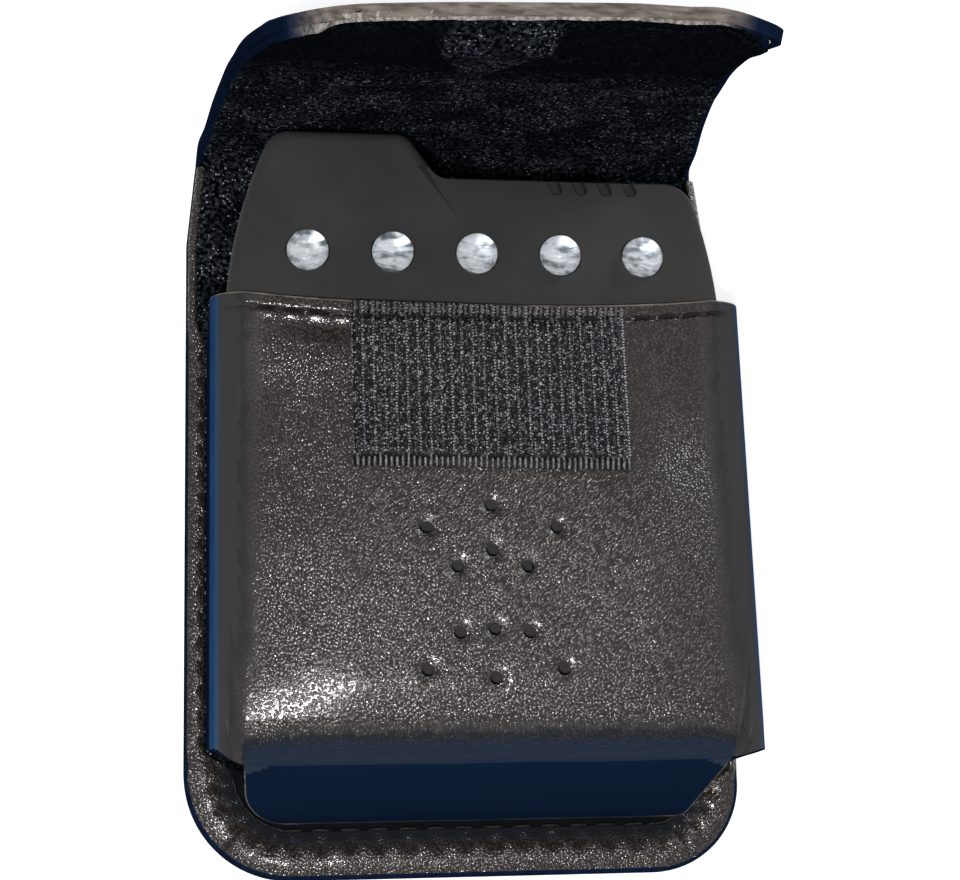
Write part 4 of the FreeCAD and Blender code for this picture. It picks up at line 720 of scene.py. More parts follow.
@dataclass(frozen=True)
class MouldedShell:
    """Injection-moulded ABS, charcoal, with a fine spark-eroded texture and a little dust.

    The texture takes the shine off without hiding the soft reflections of a moulded wall.
    """

    name: str = "moulded_abs"
    colour: str = "3a3a3a"
    second: str = "414040"
    dust: str = "b8b0a4"
    dust_gap: float = 2.6 * MM
    patch: float = 9 * MM
    texture: float = 0.12 * MM
    depth: float = 0.014 * MM
    roughness: float = 0.62

    def build(self) -> bpy.types.Material:
        """Builds the material."""
        s = Shader(self.name)
        where = s.add(Kind.PLACE)
        broad = s.add(Kind.CLOUD, where, 1 / self.patch, 3.0)
        fine = s.add(Kind.CLOUD, where, 1 / self.texture, 2.0)
        specks = s.add(Kind.CELLS, where, 1 / self.dust_gap)
        strength, which, _ = s.add(Kind.COLOURS, specks.node.outputs["Color"]).node.outputs
        dot = s.add(Kind.RANGE, specks, 0.035, 0.02)
        speck = s.add(Kind.TIMES, dot, s.add(Kind.RANGE, which, 0.8, 0.82))
        share = s.add(Kind.RANGE, broad, 0.3, 0.7)
        tone = s.add(Kind.BLEND, share, linear(self.colour), linear(self.second))
        tone = s.add(Kind.BLEND, s.add(Kind.TIMES, speck, strength), tone, linear(self.dust))
        gloss = s.add(Kind.RANGE, broad, 0.25, 0.75, self.roughness - 0.04, self.roughness + 0.05)
        s.set(Base_Color=tone, IOR=1.54, Specular_IOR_Level=0.06, Roughness=gloss,
              Normal=s.add(Kind.BUMP, fine, self.depth))
        return s.material


@dataclass(frozen=True)
class ClearEpoxy:
    """Clear cast epoxy of a lamp body, polished by its mould.

    A slight milkiness spreads the light of the reflector below over the whole lens.
    """

    name: str = "cast_clear_epoxy"
    tint: str = "f6fafc"
    patch: float = 1.5 * MM
    roughness: float = 0.03
    unevenness: float = 0.03
    clearness: float = 0.86

    def build(self) -> bpy.types.Material:
        """Builds the material."""
        s = Shader(self.name)
        broad = s.add(Kind.CLOUD, s.add(Kind.PLACE), 1 / self.patch, 2.0)
        gloss = s.add(Kind.RANGE, broad, 0.3, 0.7, self.roughness, self.roughness + self.unevenness)
        s.set(Base_Color=linear(self.tint), Transmission_Weight=self.clearness, IOR=1.5, Roughness=gloss)
        return s.material


@dataclass(frozen=True)
class SilveredCup:
    """Silver-plated stamped reflector under a lamp's clear body.

    The stamping leaves streaks and facets that the lens spreads over its whole width. The cup glows faintly
    all over and brightly at a painted gleam, standing in for light the lens gathers, and a dark ring at its
    rim is painted shadow.
    """

    name: str = "silvered_reflector"
    bright: str = "f4f8fc"
    dull: str = "46555f"
    # outline: painted shadow in the gap round the lens
    outline: str = "16191c"
    streak: float = 0.65 * MM
    stretch: tuple[float, float, float] = (0.45, 1.5, 1.0)
    slant: tuple[float, float, float] = (0.0, 0.0, 0.5)
    facet: float = 0.5 * MM
    depth: float = 0.4 * MM
    metallic: float = 0.3
    # painted glow: the cup glows though it is no lamp, faintly and then brightly at the gleam
    painted_glow: tuple[float, float] = (0.12, 1.3)

    def build(self) -> bpy.types.Material:
        """Builds the material."""
        s = Shader(self.name)
        place = s.add(Kind.PLACE)
        drawn = s.add(Kind.MAPPING, place, self.stretch, self.slant)
        streaks = s.add(Kind.CLOUD, drawn, 1 / self.streak, 4.0)
        facets = s.add(Kind.CELLS, place, 1 / self.facet)
        shadow, painted_gleam = (s.add(Kind.MARK, attribute_name=name) for name in ("shadow", "painted_gleam"))
        shade = s.add(Kind.PLUS, streaks, s.add(Kind.TIMES, facets, 0.2))
        lit = s.add(Kind.RANGE, shade, 0.42, 0.68)
        tone = s.add(Kind.BLEND, lit, linear(self.dull), linear(self.bright))
        # painted shadow ring at the cup's rim
        tone = s.add(Kind.BLEND, s.add(Kind.TIMES, shadow, 0.8), tone, linear(self.outline))
        # the cup glows though it is no lamp: painted light
        s.set(Base_Color=tone, Metallic=self.metallic,
              Roughness=s.add(Kind.RANGE, streaks, 0.3, 0.7, 0.12, 0.4), Emission_Color=tone,
              Emission_Strength=s.add(Kind.RANGE, painted_gleam, 0.2, 1.0, *self.painted_glow),
              Normal=s.add(Kind.BUMP, shade, self.depth))
        return s.material


SLOT_FINISHES: dict[str, Any] = {
    "radio_shell": MouldedShell(),
    "led_epoxy": ClearEpoxy(),
    "plated_steel": Plain("nickel_plated_steel", "b9b7b1", "a5a29c", 2 * MM, 0.15 * MM, 0.004 * MM, 0.28,
                          metallic=1.0),
    "board_laminate": Plain("paper_phenolic_board", "8a6a3a", "7b5c31", 4 * MM, 0.3 * MM, 0.02 * MM, 0.5,
                            ior=1.55, stretch=(1.0, 4.0, 1.0)),
    "speaker_iron": Plain("sintered_ferrite_magnet", "3a3a3c", "2f2f31", 2 * MM, 0.1 * MM, 0.02 * MM, 0.6),
    "paper": Plain("pressed_pulp_paper", "2a2724", "35312d", 1.5 * MM, 0.12 * MM, 0.05 * MM, 0.85),
    "felt": Plain("pressed_wool_felt", "2b2a2a", "3a3938", 0.8 * MM, 0.15 * MM, 0.12 * MM, 0.95),
    "wire_insulation": Plain("extruded_pvc_sleeve", "8c1f1a", "7b1a16", 3 * MM, 0.2 * MM, 0.004 * MM, 0.4),
    "cell_jacket": Plain("printed_shrink_film", "2d4a6b", "27415f", 6 * MM, 0.3 * MM, 0.004 * MM, 0.3),
    "spring_steel": Plain("rolled_spring_steel", "9a9894", "86847f", 1.5 * MM, 0.1 * MM, 0.005 * MM, 0.3,
                          metallic=1.0, stretch=(1.0, 6.0, 1.0)),
    "wheel_plastic": Plain("moulded_wheel_abs", "201f1f", "2a2928", 3 * MM, 0.12 * MM, 0.01 * MM, 0.45),
    "pot_phenolic": Plain("moulded_phenolic", "5b3a1f", "4c3019", 2 * MM, 0.12 * MM, 0.02 * MM, 0.45),
    "ferrite": Plain("pressed_ferrite", "343437", "2a2a2d", 2 * MM, 0.1 * MM, 0.03 * MM, 0.6),
    "copper": Plain("enamelled_copper_winding", "a4552a", "8c4421", 1 * MM, 0.12 * MM, 0.05 * MM, 0.35,
                    metallic=1.0, stretch=(1.0, 5.0, 1.0)),
    "clip_plastic": Plain("moulded_nylon_clip", "d8d2c2", "c9c2b0", 2 * MM, 0.2 * MM, 0.01 * MM, 0.5),
    "chip_epoxy": Plain("moulded_chip_epoxy", "1d1d1f", "262628", 1.5 * MM, 0.08 * MM, 0.015 * MM, 0.6),
    "resistor_body": Plain("lacquered_carbon_film", "b79a6c", "a3865a", 1 * MM, 0.1 * MM, 0.008 * MM, 0.4),
    "capacitor_sleeve": Plain("shrunk_vinyl_sleeve", "1f2f4f", "263a60", 2 * MM, 0.15 * MM, 0.004 * MM,
                              0.35),
    "can_metal": Plain("drawn_tinned_can", "b4b4b0", "9d9d99", 2 * MM, 0.12 * MM, 0.006 * MM, 0.32,
                       metallic=1.0),
    "stiffener": Plain("pressed_fibre_board", "4a3c2e", "3e3226", 2 * MM, 0.15 * MM, 0.05 * MM, 0.85),
}


class Finishes:
    """Every material of the model, each built once."""

    def __init__(self) -> None:
        """Builds the materials."""
        self.leather = GrainedLeather().build()
        self.smooth = GrainedLeather("smooth_leather", flat="403f40", sheen=0.0).build()
        self.lining = LoopLining().build()
        self.tape = WovenTape().build()
        self.hook = Plain("drawn_nylon_monofilament", "2a2930", "66646d", 0.7 * MM, 0.3 * MM, 0.002 * MM,
                          0.22).build()
        self.thread = Plain("twisted_polyester_thread", "0f0e0f", "262324", 0.5 * MM, 0.1 * MM, 0.06 * MM,
                            0.35, stretch=(3.0, 1.0, 1.0), specular=0.25).build()
        # cut edges turn navy by their corner mark: a painted reflection
        self.cut = Plain("skived_leather_edge", "57504b", "877f77", 0.6 * MM, 0.15 * MM, 0.03 * MM, 0.5,
                         stretch=(0.25, 1.0, 1.0), specular=0.0, mark="corner", marked="14213a").build()
        # pale painted highlight along the lining's end, navy towards the corners as a painted reflection
        self.lining_end_highlight = Plain("lining_end_painted_highlight", "65605d", "b8b2ab", 0.5 * MM, 0.15 * MM, 0.1 * MM, 0.5,
                            specular=0.0, mark="corner", marked="14213a").build()
        # navy of the pocket's side strips: a painted reflection of blue surroundings
        self.strip = Plain("painted_reflection_band", "2a4870", "243f66", 3 * MM, 0.3 * MM, 0.01 * MM, 0.6,
                           specular=0.0).build()
        # navy edge coat: a painted reflection on sideways edges, dark enough to stand for painted shade on
        # the walls
        self.edge = Plain("painted_shade_and_reflection_coat", "14213a", "0f1a2e", 2 * MM, 0.3 * MM, 0.02 * MM, 0.6,
                          specular=0.0).build()
        # near-black painted shade in the rim's groove and inside the punched holes
        self.groove = Plain("painted_shade_recess", "06080c", "0c0f14", 1 * MM, 0.2 * MM, 0.05 * MM, 0.7,
                            specular=0.1).build()
        self.silver = SilveredCup().build()
        self.slots = {slot: finish.build() for slot, finish in SLOT_FINISHES.items()}


# ---------------------------------------------------------------- case
@dataclass
class PanelOutline:
    """Outline of the case back, read along its edge from the upper left end round the foot."""

    half: float = 34.1
    root_half: float = 32.8
    foot: float = -50.0
    end: float = 40.2
    root: float = 42.8
    taper: float = 30.0
    corner_left: float = 13.0
    corner_right: float = 11.0

    @property
    def runs(self) -> tuple[float, float, float, float, float]:
        """Lengths of the left side, left corner, foot, right corner and right side."""
        left, right, quarter = self.corner_left, self.corner_right, math.pi / 2
        return (self.end - self.foot - left, left * quarter, 2 * self.half - left - right, right * quarter,
                self.end - self.foot - right)

    @property
    def length(self) -> float:
        """Length of the whole edge."""
        return sum(self.runs)

    def half_at(self, y: float) -> float:
        """Half width at a height."""
        narrowed = max(0.0, (y - self.taper) / (self.root - self.taper))
        return self.half - (self.half - self.root_half) * narrowed

    def at(self, s: float) -> tuple[Vector, Vector]:
        """Gives a point of the edge.

        Args:
            s: Distance along the edge in mm.

        Returns:
            The point and the direction outwards, with z at 0.
        """
        left, left_arc, foot, right_arc, _ = self.runs
        if s <= left:
            y = self.end - s
            return Vector((-self.half_at(y), y, 0)), Vector((-1, 0, 0))
        s -= left
        if s <= left_arc:
            turn, radius = s / self.corner_left, self.corner_left
            out = Vector((-math.cos(turn), -math.sin(turn), 0))
            return Vector((radius - self.half, self.foot + radius, 0)) + out * radius, out
        s -= left_arc
        if s <= foot:
            return Vector((self.corner_left - self.half + s, self.foot, 0)), Vector((0, -1, 0))
        s -= foot
        if s <= right_arc:
            turn, radius = s / self.corner_right, self.corner_right
            out = Vector((math.sin(turn), -math.cos(turn), 0))
            return Vector((self.half - radius, self.foot + radius, 0)) + out * radius, out
        y = self.foot + self.corner_right + s - right_arc
        return Vector((self.half_at(y), y, 0)), Vector((1, 0, 0))


@dataclass
class RimBinding:
    """Leather strip folded round the edge of the back, stuffed a little by its own turn."""

    outline: PanelOutline = field(default_factory=PanelOutline)
    left_width: float = 2.48
    right_width: float = 1.5
    foot_width: float = 7.3
    upper_width: float = 1.4
    hem: float = 16.6
    left_wing: float = -34.4
    right_wing: float = -37.4
    pitch: float = 0.4
    stitch: float = 3.0
    foot_stitch: float = 3.5
    stitch_inset: float = 2.0
    butt: float = 0.3
    left_joint: float = 0.54
    right_joint: float = 0.28
    # turn round the section, share of the width inwards, height: beside the pocket, then at the foot
    side_ring: tuple[tuple[float, float, float], ...] = (
        (0.0, 0.0, 7.7), (0.12, -0.01, 8.4), (0.22, 0.0, 9.2), (0.30, 0.04, 9.75), (0.36, 0.13, 9.97),
        (0.46, 0.36, 10.25), (0.56, 0.6, 10.35), (0.66, 0.8, 10.35), (0.74, 0.94, 10.2), (0.80, 0.99, 9.8),
        (0.86, 1.0, 9.0), (0.93, 1.0, 8.0), (1.0, 0.0, 7.7))
    foot_ring: tuple[tuple[float, float, float], ...] = (
        (0.0, 0.0, 7.7), (0.12, -0.003, 8.4), (0.22, 0.0, 9.2), (0.30, 0.015, 9.8), (0.36, 0.06, 9.95),
        (0.46, 0.2, 10.3), (0.56, 0.38, 10.45), (0.66, 0.56, 10.15), (0.74, 0.72, 9.3), (0.80, 0.85, 8.9),
        (0.86, 1.0, 8.75), (0.93, 1.0, 8.0), (1.0, 0.0, 7.7))

    def footing(self, point: Vector) -> float:
        """Share of the foot's broad section at a point of the outline, from 0 beside the pocket to 1."""
        start = self.left_wing if point.x < 0 else self.right_wing
        return smooth(0.0, 3.0, start - point.y)

    def width(self, point: Vector) -> float:
        """Visible width of the strip.

        Args:
            point: Point of the outline.

        Returns:
            The width in mm.
        """
        side = self.left_width if point.x < 0 else self.right_width
        side += (self.upper_width - side) * smooth(self.hem - 0.5, self.hem + 3, point.y)
        return side + (self.foot_width - side) * self.footing(point)

    def joints(self) -> tuple[float, float]:
        """Places along the outline where the strip's pieces meet."""
        left, left_arc, foot, right_arc, _ = self.outline.runs
        return left + self.left_joint * left_arc, left + left_arc + foot + self.right_joint * right_arc

    def stitch_line(self) -> list[tuple[float, Vector, Vector]]:
        """Lays out the stitches round the foot, from below one end of the hem to the other.

        Returns:
            The place along the outline, the point and the outward direction of each stitch.
        """
        line = []
        start = self.outline.end - self.hem + self.stitch_inset
        s = start
        while s < self.outline.length - start:
            point, out = self.outline.at(s)
            line.append((s, point, out))
            s += self.stitch + (self.foot_stitch - self.stitch) * self.footing(point)
        return line

    def build(self, finishes: Finishes) -> None:
        """Builds the strip and sets it on its body.

        Args:
            finishes: The materials.
        """
        rows = steps((0.0, 0), (self.outline.length, int(self.outline.length / self.pitch)))
        columns = steps((0.0, 0), (1.0, 30))
        cloth = Cloth(columns, rows)
        joints = self.joints()
        stitches = [s for s, _, _ in self.stitch_line()]

        def place(turn: float, s: float) -> Vector:
            """Gives a point of the strip.

            Args:
                turn: Share of the way round its section.
                s: Distance along the outline in mm.

            Returns:
                The point in mm.
            """
            point, out = self.outline.at(s)
            foot = self.footing(point)
            side_in, side_z = between(self.side_ring, turn)
            foot_in, foot_z = between(self.foot_ring, turn)
            inset = self.width(point) * (side_in + (foot_in - side_in) * foot)
            height = side_z + (foot_z - side_z) * foot
            proud = smooth(9.3, 10.2, height)
            near = min((abs(s - other) for other in stitches), default=9.0)
            inner = smooth(0.5, 0.72, turn) * (1 - smooth(0.84, 0.9, turn))
            tuck = bell(near, 0.55 + 0.35 * foot) * inner * smooth(-3, 0, self.hem - point.y)
            height -= (0.5 + 0.45 * foot) * tuck * proud
            height += proud * (0.13 * ripple(s, turn * 3, 2.1, 3.1) + 0.1 * ripple(s, 1, 7, 5.0))
            if joints[0] < s < joints[1]:
                height += 0.14 * proud
            butt = sum(bell(s - joint, self.butt) for joint in joints)
            height -= 0.5 * butt * proud
            return point - out * inset + Vector((0, 0, height))

        def foot_at(s: float) -> float:
            """Share of the foot's broad section at a place along the outline."""
            return self.footing(self.outline.at(s)[0])

        cloth.place(place)
        cloth.mark("plain", lambda turn, s: 1.0 - smooth(0.34, 0.37, turn) * (1 - smooth(0.86, 0.9, turn)))
        # shade mark: painted shade in the groove along the foot of the pocket
        cloth.mark("shade", lambda turn, s: 0.5 * smooth(0.6, 0.74, turn) * foot_at(s))
        # outer wall painted navy as a reflection; groove painted near-black as shade
        cloth.finish_with(1, lambda turn, s: turn < 0.36)
        cloth.finish_with(2, lambda turn, s: turn > 0.76 and foot_at(s) > 0.3)
        bmesh.ops.holes_fill(cloth.bm, edges=[e for e in cloth.bm.edges if e.is_boundary and
                                              e.verts[0][cloth.j] == e.verts[1][cloth.j]], sides=0)
        rim = Shape.finish("rim_binding_strip", cloth.bm, finishes.leather, finishes.edge, finishes.groove,
                           crease=60, recalc=True)
        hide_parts("rim_binding")
        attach(rim, Body.CASE.value)
        log.info("built %s", rim.name)


@dataclass
class CaseBack:
    """Stiffened back of the case: leather outside, fibre board, loop lining inside."""

    rim: RimBinding
    edge_round: float = 0.35
    sharp: float = 1.2
    overlap: float = 0.25
    samples: int = 260
    # nap: painted glints and lit tufts on the lining, fading to painted shade towards the foot
    nap: float = 1.15
    painted_light_rise: tuple[float, float] = (-38.0, -30.0)

    def slab(self, inset: Callable[[Vector], float], low: float, high: float) -> bmesh.types.BMesh:
        """Makes one layer of the back.

        Args:
            inset: Distance inside the outline at a point of it, in mm.
            low: Its lower face in mm.
            high: Its upper face in mm.

        Returns:
            The layer's mesh.
        """
        bm = bmesh.new()
        bmesh.ops.create_circle(bm, cap_ends=True, segments=self.samples, radius=1.0)
        bm.verts.ensure_lookup_table()
        for index, vert in enumerate(bm.verts):
            point, out = self.rim.outline.at(self.rim.outline.length * index / (self.samples - 1))
            vert.co = point - out * inset(point) + Vector((0, 0, low))
        bmesh.ops.recalc_face_normals(bm, faces=bm.faces[:])
        grown = bmesh.ops.extrude_face_region(bm, geom=bm.faces[:])
        top = [v for v in grown["geom"] if isinstance(v, bmesh.types.BMVert)]
        bmesh.ops.translate(bm, vec=Vector((0, 0, high - low)), verts=top)
        bmesh.ops.recalc_face_normals(bm, faces=bm.faces[:])
        rims = [e for e in bm.edges if e.is_manifold and e.calc_face_angle(0.0) > self.sharp
                and abs(e.verts[0].co.z - e.verts[1].co.z) < self.edge_round / 10]
        bmesh.ops.bevel(bm, geom=rims, offset=self.edge_round, offset_type="OFFSET", segments=3,
                        profile=0.5, affect="EDGES", material=-1)
        return bm

    def build(self, finishes: Finishes) -> None:
        """Builds the layers and sets them on their body.

        Args:
            finishes: The materials.
        """
        low, _ = mm_box("back_leather")
        _, board_high = mm_box("back_board")
        lining_low, lining_high = mm_box("back_lining")
        bm = self.slab(lambda point: 0.0, low.z, board_high.z)
        leather = Shape.finish("case_back_leather", bm, finishes.leather)
        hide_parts("back_leather", "back_board")
        bm = self.slab(lambda point: self.rim.width(point) - self.overlap, lining_low.z, lining_high.z)
        nap = bm.verts.layers.float.new("nap")
        for vert in bm.verts:
            vert[nap] = self.nap * smooth(*self.painted_light_rise, vert.co.y)
        lining = Shape.finish("case_back_lining", bm, finishes.lining)
        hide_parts("back_lining")
        for piece in (leather, lining):
            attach(piece, Body.CASE.value)
            log.info("built %s", piece.name)


@dataclass
class Pocket:
    """Moulded front pocket: face, two side wings, and a tongue that closes the foot."""

    hem: float = 16.6
    fold: float = -37.9
    hem_dip: float = 1.3
    edge: float = 4.0
    edge_line: float = 0.14
    edge_start: float = 0.2
    fold_round: float = 4.8
    fold_first: float = 0.18
    leather: float = 1.3
    pillow: float = 1.35
    side_slope: float = 0.18
    foot_slope: float = 0.34
    corner_blend: float = 2.0
    rise: tuple[float, float] = (9.0, 31.0)
    tongue_half: float = 28.2
    draw_left: float = 1.0
    draw_right: float = 1.9
    ear: tuple[float, float] = (4.8, 9.5)
    wing_left: tuple[float, float] = (-36.3, -34.2)
    wing_right: tuple[float, float] = (-37.2, -37.0)
    hem_band: float = 1.5
    needle_line: float = 0.12
    punch: float = 0.76
    punch_centre: tuple[float, float] = (0.5, -19.2)
    # each hole from the centre, with a second one opposite where it lies to one side
    punches: tuple[tuple[float, float], ...] = (
        (0.0, 10.0), (7.6, 7.4), (0.0, 4.7), (4.05, 2.8),
        (0.0, -4.4), (4.0, -4.8), (7.8, -9.0), (0.0, -10.0))
    stitch: float = 3.0
    centre: float = field(init=False)
    half: float = field(init=False)
    base: float = field(init=False)
    front: float = field(init=False)
    seam: float = field(init=False)
    flat: float = field(init=False)
    wall: float = field(init=False)
    fold_turn: float = field(init=False)
    fold_start: float = field(init=False)
    holes: list[tuple[float, float]] = field(init=False)

    def __post_init__(self) -> None:
        """Takes the place and size of the pocket from the frame."""
        low, high = mm_box("pocket_leather")
        self.centre, self.half = (low.x + high.x) / 2, (high.x - low.x) / 2
        self.base, self.front, self.seam = low.z, high.z, low.y
        self.flat = self.half - self.edge
        self.wall = self.front - self.edge - self.base
        lean = math.atan2(self.fold - self.seam, self.front - self.fold_round - self.base)
        self.fold_turn = math.pi / 2 - lean
        self.fold_start = self.fold + self.fold_round * math.sin(self.fold_turn)
        self.holes = [(self.punch_centre[0] + side * x, self.punch_centre[1] + y)
                      for x, y in self.punches for side in ((-1, 1) if x else (1,))]

    def hem_at(self, x: float) -> float:
        """Height of the hem at a place across the pocket."""
        share = min(1.0, abs(x) / self.flat)
        return self.hem - self.hem_dip * (1 - share**3)

    def edge_drop(self, from_side: float, from_foot: float) -> float:
        """How far the pillow lies below its crown, which it climbs to from its side and its foot.

        Args:
            from_side: Distance from the side edge in mm.
            from_foot: Distance from the foot's fold in mm.

        Returns:
            The drop in mm, with the two slopes blended along the corner and eased off above.
        """
        side = self.side_slope * (from_side - 0.7)
        foot = self.foot_slope * (from_foot + 0.7)
        blend = max(0.0, self.corner_blend - abs(side - foot))
        climb = min(2.0, min(side, foot) - blend**2 / (4 * self.corner_blend))
        return 1.5 - climb + max(0.0, climb - 1) ** 2 / 2

    def relief(self, x: float, y: float) -> float:
        """How far the face stands proud of its flat plane.

        Args:
            x: Place across, from the pocket's middle line.
            y: Height.

        Returns:
            The height in mm.
        """
        below = self.hem_at(x) - y
        swell = self.pillow * smooth(*self.rise, below)
        drop = self.edge_drop(self.flat - abs(x), y - self.fold_start)
        swell -= drop * (0.3 + 0.7 * smooth(0, 14, below))
        band = 0.16 * (1 - smooth(self.hem_band - 0.25, self.hem_band + 0.05, below))
        step = (x - self.stitch_start) / self.stitch
        needle = (step - round(step)) * self.stitch
        pinch = 0.5 + 0.5 * math.cos(math.tau * step)
        line = below - self.hem_band - self.needle_line
        crease = -0.22 * bell(line, 0.17) - 0.4 * bell(math.hypot(needle, line), 0.34)
        pulled = 0.16 * (1 - pinch) * bell(line - 0.6, 0.35) * bell(x + 21, 7)
        slack = -0.4 * bell(below - 3.2, 1.5) * (bell(x + 19.0, 4.5) + 0.3 * bell(x - 19.5, 4.0))
        dents = sum(-0.38 * bell(max(0.0, math.hypot(x + self.centre - hx, y - hy) - self.punch), 0.48)
                    for hx, hy in self.holes if abs(y - hy) < 4 and abs(x + self.centre - hx) < 4)
        uneven = 0.14 * ripple(x, y, 11, 1.7) + 0.06 * ripple(x, y, 4.2, 4.4)
        return swell + band + crease + pulled + slack + dents + uneven * smooth(0, 3, self.flat - abs(x))

    @property
    def stitch_start(self) -> float:
        """Place of the first needle hole across the hem."""
        return -self.flat + 1.0

    def surface(self, a: float, d: float) -> Vector:
        """Gives a point of the outer face.

        Args:
            a: Distance across from the middle line, round the edges and down the wings.
            d: Distance down from the hem, in rows: 0 to 1 the face, 1 to 2 the fold, 2 to 3 the tongue.

        Returns:
            The point in mm.
        """
        side, reach = math.copysign(1, a), abs(a)
        bend = min(1.0, max(0.0, (reach - self.flat) / (self.edge * math.pi / 2)))
        first = self.edge_start
        turn = first + (math.pi / 2 - first) * bend
        wall = max(0.0, reach - self.flat - self.edge * math.pi / 2)
        x = min(reach, self.flat) + self.edge * (math.sin(turn) - math.sin(first)) / (1 - math.sin(first))
        drop = self.edge * (math.cos(first) - math.cos(turn)) / math.cos(first) + wall
        hem = self.hem_at(x)
        front_end, base_end = self.wing_left if side < 0 else self.wing_right
        wing_end = front_end + (base_end - front_end) * smooth(0, 0.8 * self.wall, wall)
        first, last = self.fold_first, self.fold_turn
        fold = first + (last - first) * min(1.0, max(0.0, d - 1))
        y = hem + (self.fold_start - hem) * min(1.0, d)
        folded = (math.sin(fold) - math.sin(first)) / (math.sin(last) - math.sin(first))
        y -= (self.fold_start - self.fold) * folded
        fall = (self.fold_round * (1 - math.cos(last)) * (math.cos(first) - math.cos(fold))
                / (math.cos(first) - math.cos(last)))
        low = max(0.0, d - 2)
        depth = self.front - self.base - self.fold_round * (1 - math.cos(last))
        y += (self.seam - self.fold) * low
        fall += depth * low
        if low > 0:
            wide, tall = self.ear if side < 0 else (1.2, 2.0)
            left = max(0.0, 1 - (1 - low) * depth / tall)
            cut = wide * (1 - math.sqrt(1 - left * left)) * smooth(0.55, 1.0, reach / self.flat)
            draw = self.draw_left if side < 0 else self.draw_right
            x = reach / self.flat * (self.tongue_half - draw * low - cut)
            belly = 0.5 * math.sin(math.pi * low) * (1 - (reach / self.flat) ** 4)
            y -= belly + 0.08 * ripple(a, low * 17, 9, 8.8)
        wing_y = hem + (wing_end - hem) * min(2.0, d) / 2
        share = smooth(0.0, 0.7, bend)
        y += (wing_y - y) * share
        fall *= 1 - share
        proud = 0.0
        if low == 0:
            proud = self.relief(side * x, y) * math.cos(fold) * (1 - smooth(0.1, 0.6, bend))
        return Vector((self.centre + side * x, y, self.front + proud - drop - fall))

    def face(self, x: float, y: float) -> Vector:
        """Gives the point of the flat face at a place in mm."""
        return Vector((x, y, self.front + self.relief(x - self.centre, y)))

    def build(self, finishes: Finishes) -> None:
        """Builds the pocket and sets it on its body.

        Args:
            finishes: The materials.
        """
        arc = self.edge * math.pi / 2
        round_end, outer = self.flat + arc, self.flat + arc + self.wall
        hair = self.edge_line
        top_edge, foot_edge = 0.0036, 2.98
        wing_steps, edge_steps = 16, 14
        columns = steps((-outer, 0), (-round_end, wing_steps), (-self.flat, edge_steps),
                        (hair - self.flat, 1), (self.flat - hair, 158), (self.flat, 1),
                        (round_end, edge_steps), (outer, wing_steps))
        face = steps((0.0, 0), (top_edge, 1), (0.075, 24), (1.0, 116), (2.0, 16))
        rows = [*face, *steps((2.0, 0), (foot_edge, 26), (3.0, 1))[1:]]
        cloth = Cloth(columns, rows)
        wing, last, fold_end = wing_steps + edge_steps, len(columns) - 1, len(face) - 1
        cloth.trim(lambda i, j: j > fold_end and (i < wing or i > last - wing))
        cloth.place(self.surface)
        for hx, hy in self.holes:
            cloth.punch(Vector((hx, hy, self.front)), self.punch)
        cloth.face_towards(Vector((0, 0, 1)))

        def bend(a: float) -> float:
            """Share of the turn round the side edge."""
            return (abs(a) - self.flat) / arc

        def corner(a: float) -> float:
            """How much further down the fold starts towards the corners."""
            return 0.12 * smooth(0.86, 1.0, abs(a) / self.flat)

        def plain(a: float, d: float) -> float:
            """How far the grain is stretched flat: round the edges and on the tongue."""
            wander = 0.1 * ripple(a, d * 54, 1.5, 9.0) - 0.2 * smooth(0.8, 1.0, d)
            return max(smooth(-0.45, 0.15, bend(a) + wander), smooth(1.8, 2.05, d - corner(a)))

        def shade(a: float, d: float) -> float:
            """How dark the leather is painted towards the foot: painted shade over the fold, then a navy
            painted reflection on the tongue.
            """
            wavering = 0.08 * ripple(a, d * 12, 2.0, 4.0) * smooth(0.97, 1.1, d)
            return smooth(0.97, 1.7, d - corner(a) + wavering) * (1 - smooth(0.0, 0.1, bend(a)))

        def pressed(a: float, d: float) -> float:
            """How far the grain is rubbed down: on the right, below the hem and on the left."""
            right = smooth(6, 22, a) * smooth(0.62, 0.3, d)
            left = 0.7 * smooth(-18, -27, a) * smooth(0.5, 0.2, d)
            return max(right, 0.8 * smooth(0.2, 0.04, d), left)

        def dyed(a: float, d: float) -> float:
            """How far the side edge is painted navy as a reflection of blue surroundings, a little sooner
            on the left.
            """
            return smooth(0.5, 0.62, bend(a)) if a < 0 else smooth(0.55, 0.66, bend(a))

        def cut_edge(a: float, d: float) -> bool:
            """Whether a face takes the light edge colour: the tongue's foot and side edges, and the hem's
            top row, where it is a painted highlight along the rounded edge.
            """
            beside = d > 2.1 and 0 > abs(a) - self.flat > -self.edge_line
            return d > foot_edge or d < top_edge or beside

        cloth.mark("plain", plain)
        cloth.mark("shade", shade)
        cloth.mark("pressed", pressed)
        # edge mark: navy painted reflection on the side strips
        cloth.mark("edge", dyed)
        cloth.finish_with(5, lambda a, d: plain(a, d) > 0.98)
        # side strips and walls take navy finishes that stand for a painted reflection
        cloth.finish_with(1, lambda a, d: 0.62 < bend(a) < 0.96)
        cloth.finish_with(3, lambda a, d: bend(a) >= 0.96)
        # corner mark: the tongue's cut edge painted navy as a reflection, except near its sides
        cloth.mark("corner", lambda a, d: (0.75 * smooth(2.5, 2.9, d)
                                           * smooth(1.0, 0.85, abs(a) / self.flat)))
        cloth.finish_with(2, cut_edge)
